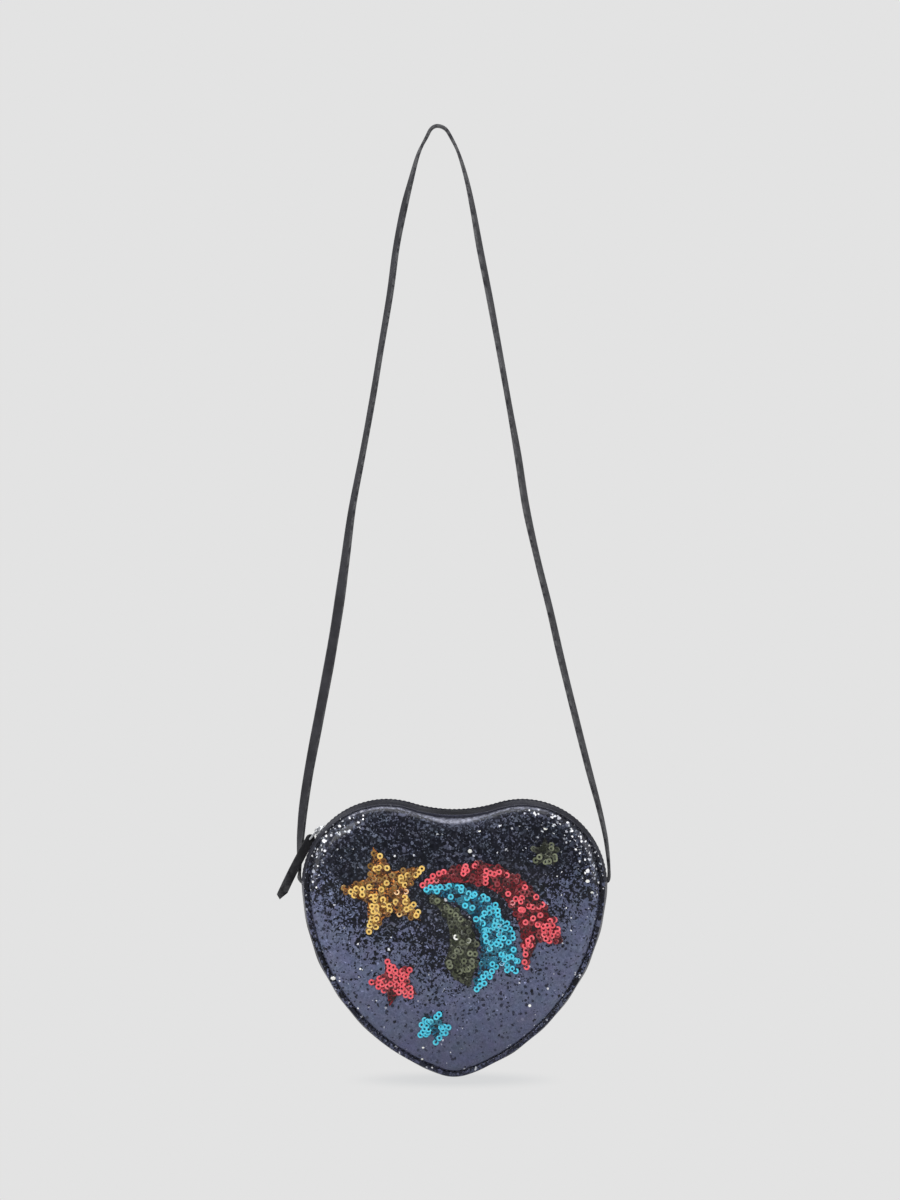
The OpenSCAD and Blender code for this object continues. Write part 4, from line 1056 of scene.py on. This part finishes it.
def tab_form():
    """A doubled strip: a rounded section carried from the loop's bar, which is the tab's hinge, to the tip.
    It has a round top and a slanting cut, it bows slightly, and its faces are a little hollow."""
    w, tip = TAB_W / 2, TAB_W * 0.03
    cut_a, cut_b = TAB_L - TAB_W / 3, TAB_L - TAB_W
    s = np.concatenate([np.sin(np.linspace(-math.pi / 2, 0, 12)) * w, np.linspace(0.8, cut_b, 40),
                        np.linspace(cut_b + 0.2, TAB_L - 0.05, 14)])
    top = np.where(s < 0, np.sqrt(np.clip(w**2 - s**2, 1e-4, None)), w)
    low = np.where(s > cut_a, -w + (s - cut_a) / (TAB_L - cut_a) * (tip + w), -top)
    high = np.where(s > cut_b, w - (s - cut_b) / (TAB_L - cut_b) * (w - tip), top)
    a = full_turn(24)
    sx, sy = squared(np.cos(a), 0.35), squared(np.sin(a), 0.6)
    middle, half = (low + high) / 2, (high - low) / 2
    along = s[:, None]
    u = middle[:, None] + half[:, None] * sx[None] - 0.5 * np.sin(np.clip(along / TAB_L, 0, 1) * math.pi)
    thin = np.clip(half / 1.2, 0.15, 1)[:, None]
    v = TAB_T / 2 * 0.97 * sy[None] * thin * (1 - 0.12 * (1 - sx**2))[None]
    pos = next(j["pos_m"] for j in frame["joints"] if j["name"] == "tab_swing")
    th = math.radians(TAB_ANGLE)
    x = pos[0] * 1000 - HANG + along * math.cos(th) - u * math.sin(th)
    z = pos[2] * 1000 - BAG_Z + along * math.sin(th) + u * math.cos(th)
    border = np.clip(np.abs(sx) - 0.72, 0, 1) * 2.6 + 0.75 * np.clip(along / TAB_L, 0, 1) ** 1.5
    return capped_rings("leathercloth_pull_tab", in_row(np.stack([x, -TAB_Y + v, z], -1)), smooth_angle=60,
                        border=np.clip(border, 0, 1))


finish_piece(tab_form(), tab_mat, body="pull_tab", nodes=["pull_tab"])

# Sequins: tint, centre, radius and turn of each star, and the corners of each tail. Lengths are shares of the
# half width
STARS = {"gold_star": ("gold", -0.460, -0.025, 0.305, 105), "red_star": ("red", -0.392, -0.620, 0.172, 113),
         "blue_star": ("blue", -0.130, -0.912, 0.113, 60), "olive_star": ("olive", 0.600, 0.230, 0.106, 90)}
TAILS = {
    "red_tail": ("red", [
        [-0.222, 0.030], [0.380, 0.437], [0.723, -0.355], [0.552, -0.360], [0.459, -0.545], [0.486, 0.172],
        [-0.208, 0.006]]),
    "blue_tail": ("blue", [
        [-0.200, -0.004], [0.352, 0.137], [0.416, -0.558], [0.286, -0.492], [0.124, -0.670], [0.323, -0.124],
        [-0.195, -0.030]]),
    "olive_tail": ("olive", [
        [-0.156, -0.053], [0.277, -0.208], [0.098, -0.657], [-0.003, -0.604], [-0.070, -0.492],
        [0.047, -0.252], [-0.168, -0.070]])}


def star_outline(cx, cz, radius, angle):
    k = np.arange(10)
    r = HALF_W * radius * np.where(k % 2 == 0, 1, STAR_INNER)
    return HALF_W * np.array([cx, cz]) + r[:, None] * around(np.radians(angle - k * 36))


def tail_outline(shares):
    """Outer edge from the star to its corner, the notch, then the inner edge back: quadratic curves."""
    s = HALF_W * np.array(shares)
    t = np.linspace(0, 1, 16)[:, None]
    outer, inner = ((1 - t) ** 2 * s[a] + 2 * t * (1 - t) * s[b] + t**2 * s[c]
                    for a, b, c in ((0, 1, 2), (6, 5, 4)))
    return np.concatenate([outer, s[3:4], inner[::-1]])


def inside(p, polygon):
    """Crossing test of many points against one polygon, as one array operation."""
    a, b = polygon, np.roll(polygon, -1, 0)
    x, z = p[:, None, 0], p[:, None, 1]
    spans = (a[:, 1] > z) != (b[:, 1] > z)
    with np.errstate(divide="ignore", invalid="ignore"):
        at = a[:, 0] + (z - a[:, 1]) / (b[:, 1] - a[:, 1]) * (b[:, 0] - a[:, 0])
    return (np.sum(spans & (x < at), 1) % 2) == 1


def hex_spots(polygon, pitch, jitter):
    """Staggered rows of points over a polygon's box, moved at random by the jitter; those inside are kept."""
    low, high = polygon.min(0) - pitch, polygon.max(0) + pitch
    rows = np.arange(low[1], high[1], pitch * 0.866)
    grid = np.stack(np.meshgrid(np.arange(low[0], high[0], pitch), rows), -1)
    grid[1::2, :, 0] += pitch / 2
    spots = grid.reshape(-1, 2) + RANDOM.uniform(-jitter, jitter, (grid.size // 2, 2))
    return spots[inside(spots, polygon)]


def ring_sequins(name, spots, tones, lift, tilt):
    """Flat rings of 12 x 4 points with sloping edges, each laid on the dome's slope and tilted at random."""
    section = np.array([[1.85, 0.0], [1.68, 0.26], [0.86, 0.26], [0.68, 0.0]])
    turn = around(full_turn(12))
    form = np.concatenate([turn[:, None] * section[None, :, :1], np.tile(section[:, 1:], (12, 1, 1))], -1)
    n, e = len(spots), 0.4
    slope = [(front_height(spots + step) - front_height(spots - step)) / (2 * e) for step in ([e, 0], [0, e])]
    up = upright(np.stack(slope, -1), -1.0)
    up = unit(up + RANDOM.normal(0, 1, (n, 3)) * tilt * [1, 0, 1])
    side = unit(np.cross(up, [0.0, 0.0, 1.0]))
    centres = upright(spots, -(HALF_D + SKIN_T + front_height(spots) + lift))
    quads = np.roll((ring_quads(13, 4) % 48)[:, ::-1], 1, axis=1)
    return copies(name, form.reshape(-1, 3), quads, centres, (side, np.cross(up, side), up), smooth_angle=45,
                  tone=np.repeat(tones, 48), crown=np.tile([0.0, 1.0, 1.0, 0.0], 12 * n))


# Places of the light rings, x and z in tenths of a millimetre, patch by patch
LIGHT_RINGS = {
    "gold_star": [
        -434, 185, -461, 111, -439, 115, -393, 115, -395, 28, -426, -9, -190, 112, -208, 92, -225, 74, -274,
        73, -311, 61, -311, 42, -288, 17, -572, -5, -537, -9, -496, 4, -603, -23, -537, -40, -583, -44, -484,
        -54, -462, -51, -416, -68, -461, -73, -412, -98, -381, -106, -377, -131, -480, -108, -455, -110, -472,
        -137, -453, -133, -449, -161, -480, -176, -455, -182, -485, -199, -493, -220, -457, -227, -497, -256,
        -342, -83, -288, -55, -287, -82, -238, -98, -255, -114, -279, -125, -212, -141, -222, -160],
    "red_star": [
        -390, -430, -377, -455, -357, -462, -379, -480, -344, -483, -370, -508, -321, -501, -305, -485, -277,
        -494, -261, -478, -341, -515, -342, -534, -282, -515, -307, -529, -436, -529, -413, -542, -441, -552,
        -483, -551, -421, -562, -443, -576, -411, -598, -390, -575, -372, -561, -342, -589, -305, -563, -289,
        -573, -305, -587, -258, -583, -289, -605, -254, -607, -284, -625, -256, -631, -323, -609, -337, -563],
    "blue_star": [
        -173, -771, -157, -780, -140, -780, -191, -799, -162, -804, -174, -822, -150, -825, -184, -842, -155,
        -844, -166, -855, -198, -859, -90, -737, -106, -753, -59, -810, -77, -813, -35, -814, -68, -828, -52,
        -847, -71, -847, -88, -876, -109, -902],
    "olive_star": [
        565, 247, 564, 228, 495, 179, 473, 159, 551, 154, 531, 151, 583, 182, 585, 166],
    "red_tail": [
        -185, 15, -158, 37, -134, 41, -126, 68, -90, 83, -63, 92, 65, 125, 55, 107, 73, 101, 52, 83, 119, 126,
        186, 98, 180, 74, 183, 54, 181, 30, 209, 86, 232, 80, 260, 92, 305, 74, 313, -35, 411, 3, 476, -54,
        357, -65, 393, -59, 387, -80, 512, -98, 491, -110, 455, -113, 399, -130, 434, -107, 387, -127, 500,
        -160, 458, -178, 414, -201, 485, -215, 556, -193, 583, -187, 517, -225, 541, -220, 571, -220, 601,
        -241, 520, -246, 547, -243, 577, -258, 601, -262, 523, -273, 547, -273, 568, -279, 532, -297, 552,
        -309, 428, -308, 449, -293, 443, -335, 417, -364, 414, -388, 408, -433, 420, -462, 411, -338],
    "blue_tail": [
        -163, -10, -140, 3, -114, 0, -102, -20, -84, 5, -56, 2, -31, 11, -22, -52, 17, 3, 40, 3, 37, -16, 73,
        -59, 82, -32, 103, -47, 117, -38, 156, -68, 168, -50, 191, -65, 62, -103, 104, -116, 239, -100, 203,
        -118, 227, -133, 251, -133, 254, -157, 203, -145, 175, -147, 126, -182, 162, -177, 165, -208, 257,
        -180, 239, -192, 274, -200, 307, -208, 233, -219, 257, -222, 174, -248, 188, -245, 212, -248, 245,
        -243, 268, -246, 298, -234, 322, -240, 180, -281, 260, -272, 286, -293, 337, -266, 340, -293, 185,
        -311, 212, -323, 257, -308, 316, -317, 268, -334, 245, -326, 344, -360, 206, -355, 274, -388, 292,
        -385, 331, -400, 313, -406, 292, -418, 354, -424, 369, -427, 307, -450, 242, -459, 221, -444, 218,
        -486, 183, -500, 206, -518, 168, -518, 150, -545, 174, -557, 147, -572, 130, -591, 337, -471, 357,
        -485, 307, -480],
    "olive_tail": [
        -99, -74, -46, -112, -22, -136, 8, -159, 37, -183, 11, -287, 76, -316, 43, -319, 129, -328, 55, -426,
        91, -382, -31, -435, -25, -456, 61, -477, 79, -474, 103, -426, 120, -385, 14, -367, -4, -397, 31,
        -486, 103, -456, 37, -373],
}


def sequin_patch(node, tint, polygon):
    """A loose layer of dark rings over the patch, and light rings above it, lower where they lie off it."""
    dark = hex_spots(polygon, 2.9, 0.6)
    dark = dark[RANDOM.uniform(0, 1, len(dark)) < 0.6]
    light = np.array(LIGHT_RINGS[node]).reshape(-1, 2) / 10
    faint = 0.55 if tint == "olive" else 0.8
    tones = np.concatenate([RANDOM.uniform(0.0, 0.3, len(dark)), RANDOM.uniform(faint, 1.0, len(light))])
    lift = np.concatenate([np.full(len(dark), 0.86), np.where(inside(light, polygon), 1.06, 0.62)])
    lift += RANDOM.uniform(0, 0.22, len(lift))
    rings = ring_sequins(node + "_sequins", np.concatenate([dark, light]), tones, lift,
                         np.where(tones < 0.5, 0.2, 0.08)[:, None])
    finish_piece(rings, foil[tint])


def cover(node, material):
    """Gives its material to a CAD node that no piece replaces."""
    NODES[node].data.materials.clear()
    NODES[node].data.materials.append(material)


patches = {node: (tint, star_outline(*star)) for node, (tint, *star) in STARS.items()}
patches.update({node: (tint, tail_outline(shares)) for node, (tint, shares) in TAILS.items()})
for node, (tint, polygon) in patches.items():
    sequin_patch(node, tint, polygon)
    cover(node, ground[tint])

# Loose flakes on the front in near-white foil as painted glints, the first nine large ones, and one clear
# ring in the olive tail
LARGE_FLAKES = 9
GLINT_FLAKE_SPOTS = [
    -67.2, 29.7, 53.2, 34.4, 73.0, 21.0, 77.7, 3.6, 10.2, 36.6, 9.0, 21.3, 2.6, -21.0, 22.4, -39.6, -70.9,
    -53.5, 43.9, -68.9, -18.3, -93.5, -54.9, -47.4, -18.9, -100.6, 80.2, -3.0, 70.6, 25.2, 61.5, 32.5, -73.0,
    22.5, -58.0, 38.6, -49.5, 41.0, 14.5, 33.2, 26.2, 34.0]


def loose_flakes(name, spots, lift):
    """Thin six-sided flakes on the dome, turned and sized at random: two hexagons joined by six walls."""
    n = len(spots)
    size = RANDOM.uniform(0.55, 1.05, n)
    size[:LARGE_FLAKES] = RANDOM.uniform(1.2, 1.6, LARGE_FLAKES)
    a = full_turn(6) + RANDOM.uniform(0, math.pi, n)[:, None]
    stretch = RANDOM.uniform(0.7, 1.0, n)[:, None]
    rim = spots[:, None] + size[:, None, None] * np.stack([np.cos(a), np.sin(a) * stretch], -1)
    y = -(HALF_D + SKIN_T + front_height(rim) + lift)
    verts = np.concatenate([upright(rim, y), upright(rim, y + 0.2)], 1)
    i = np.arange(6)
    walls = np.stack([i, i + 6, (i + 1) % 6 + 6, (i + 1) % 6], -1)
    faces = np.concatenate([[[0, 1, 2, 3], [0, 3, 4, 5], [9, 8, 7, 6], [11, 10, 9, 6]], walls])
    return make_object(name, in_row(verts), repeated(faces, n, 12), smooth_angle=30,
                       tone=np.repeat(RANDOM.uniform(0.75, 1.0, n), 12), crown=np.ones(12 * n))


flakes = loose_flakes("painted_glint_flakes", np.array(GLINT_FLAKE_SPOTS).reshape(-1, 2), 0.12)
finish_piece(flakes, foil["clear"])
clear_ring = ring_sequins("clear_ring_sequin", np.array([[1.1, -28.7]]), 1.0, 1.3, 0.05)
finish_piece(clear_ring, foil["clear"])

for node, material in {"front_board": card_mat, "back_board": greyboard_mat, "zip_teeth_front": teeth_mat,
                       "zip_teeth_back": teeth_mat, "zip_top_stops": metal, "zip_bottom_stop": metal}.items():
    cover(node, material)

# Stage: pale floor, pale surroundings, soft lamps and the camera
PAPER = colour(227, 227, 227)


def stage_floor():
    """A wide floor that the camera sees as paper with a contact shadow, and that lights the object evenly."""
    mesh = bpy.data.meshes.new("studio_floor")
    s, z = 6.0, float(cad_low.z) - 0.0025
    mesh.from_pydata([(-s, -s, z), (s, -s, z), (s, s, z), (-s, s, z)], [], [(0, 1, 2, 3)])
    obj = link(bpy.data.objects.new("studio_floor", mesh))
    mesh.materials.append(new_material("pale_floor"))
    shade = out("AmbientOcclusion", {"Distance": 0.032}, "AO", samples=8)
    paper = blend(spread(shade, 0.2, 1.0), colour(214, 215, 216), PAPER)
    glow = out("Emission", {0: paper, 1: 1.0})
    ray = signals(put("LightPath"))
    seen = most(ray["Is Camera Ray"], ray["Is Glossy Ray"], ray["Is Transmission Ray"])
    matte = out("BsdfDiffuse", {0: PAPER})
    put("OutputMaterial", {0: out("MixShader", {0: seen, 1: matte, 2: glow})})


def surroundings():
    """Pale for the camera; for the object a soft room that is dimmer on the side the front faces."""
    bpy.context.scene.world = in_work(bpy.data.worlds.new("pale_room"))
    front_side = spread(split(out("TexCoord", key="Generated"))[1], -0.9, 0.1)
    room = blend(front_side, colour(118, 119, 122), PAPER)
    ray = signals(put("LightPath"))
    seen = most(ray["Is Camera Ray"], ray["Is Transmission Ray"], ray["Is Glossy Ray"] * front_side)
    put("OutputWorld", {0: out("Background", {0: blend(seen, room, PAPER), 1: 1.0})})


def lamp(name, where, target, size_x, size_y, power):
    data = bpy.data.lights.new(name, "AREA")
    data.shape, data.size, data.size_y, data.energy = "RECTANGLE", size_x, size_y, power
    obj = link(bpy.data.objects.new(name, data))
    obj.location = where
    obj.rotation_euler = (Vector(target) - Vector(where)).to_track_quat("-Z", "Y").to_euler()


stage_floor()
surroundings()
PURSE_AT = (0.01, 0, -0.45)
lamp("key_softbox", (-0.75, -1.35, 0.35), PURSE_AT, 0.6, 0.6, 8.5)
lamp("top_softbox", (0.0, -0.22, 0.42), PURSE_AT, 0.7, 0.3, 3.0)
lamp("left_softbox", (-0.95, -0.35, -0.1), (0.0, 0, -0.44), 0.5, 0.7, 3.0)
lamp("right_softbox", (0.95, -0.35, -0.1), (0.02, 0, -0.44), 0.5, 0.7, 3.0)

# The camera sees this height in metres from this distance
VIEW_HEIGHT, CAMERA_AWAY, SENSOR = 0.7083, 2.3, 36.0
view = bpy.data.cameras.new("photo_camera")
view.sensor_width, view.lens = SENSOR, SENSOR * CAMERA_AWAY / VIEW_HEIGHT
view.clip_start, view.clip_end = 0.05, 20.0
camera = link(bpy.data.objects.new("photo_camera", view))
camera.location = (0.0074, -CAMERA_AWAY, -0.2788)
camera.rotation_euler = (math.pi / 2, 0, 0)
bpy.context.scene.camera = camera
bpy.context.scene.view_settings.view_transform = "Standard"
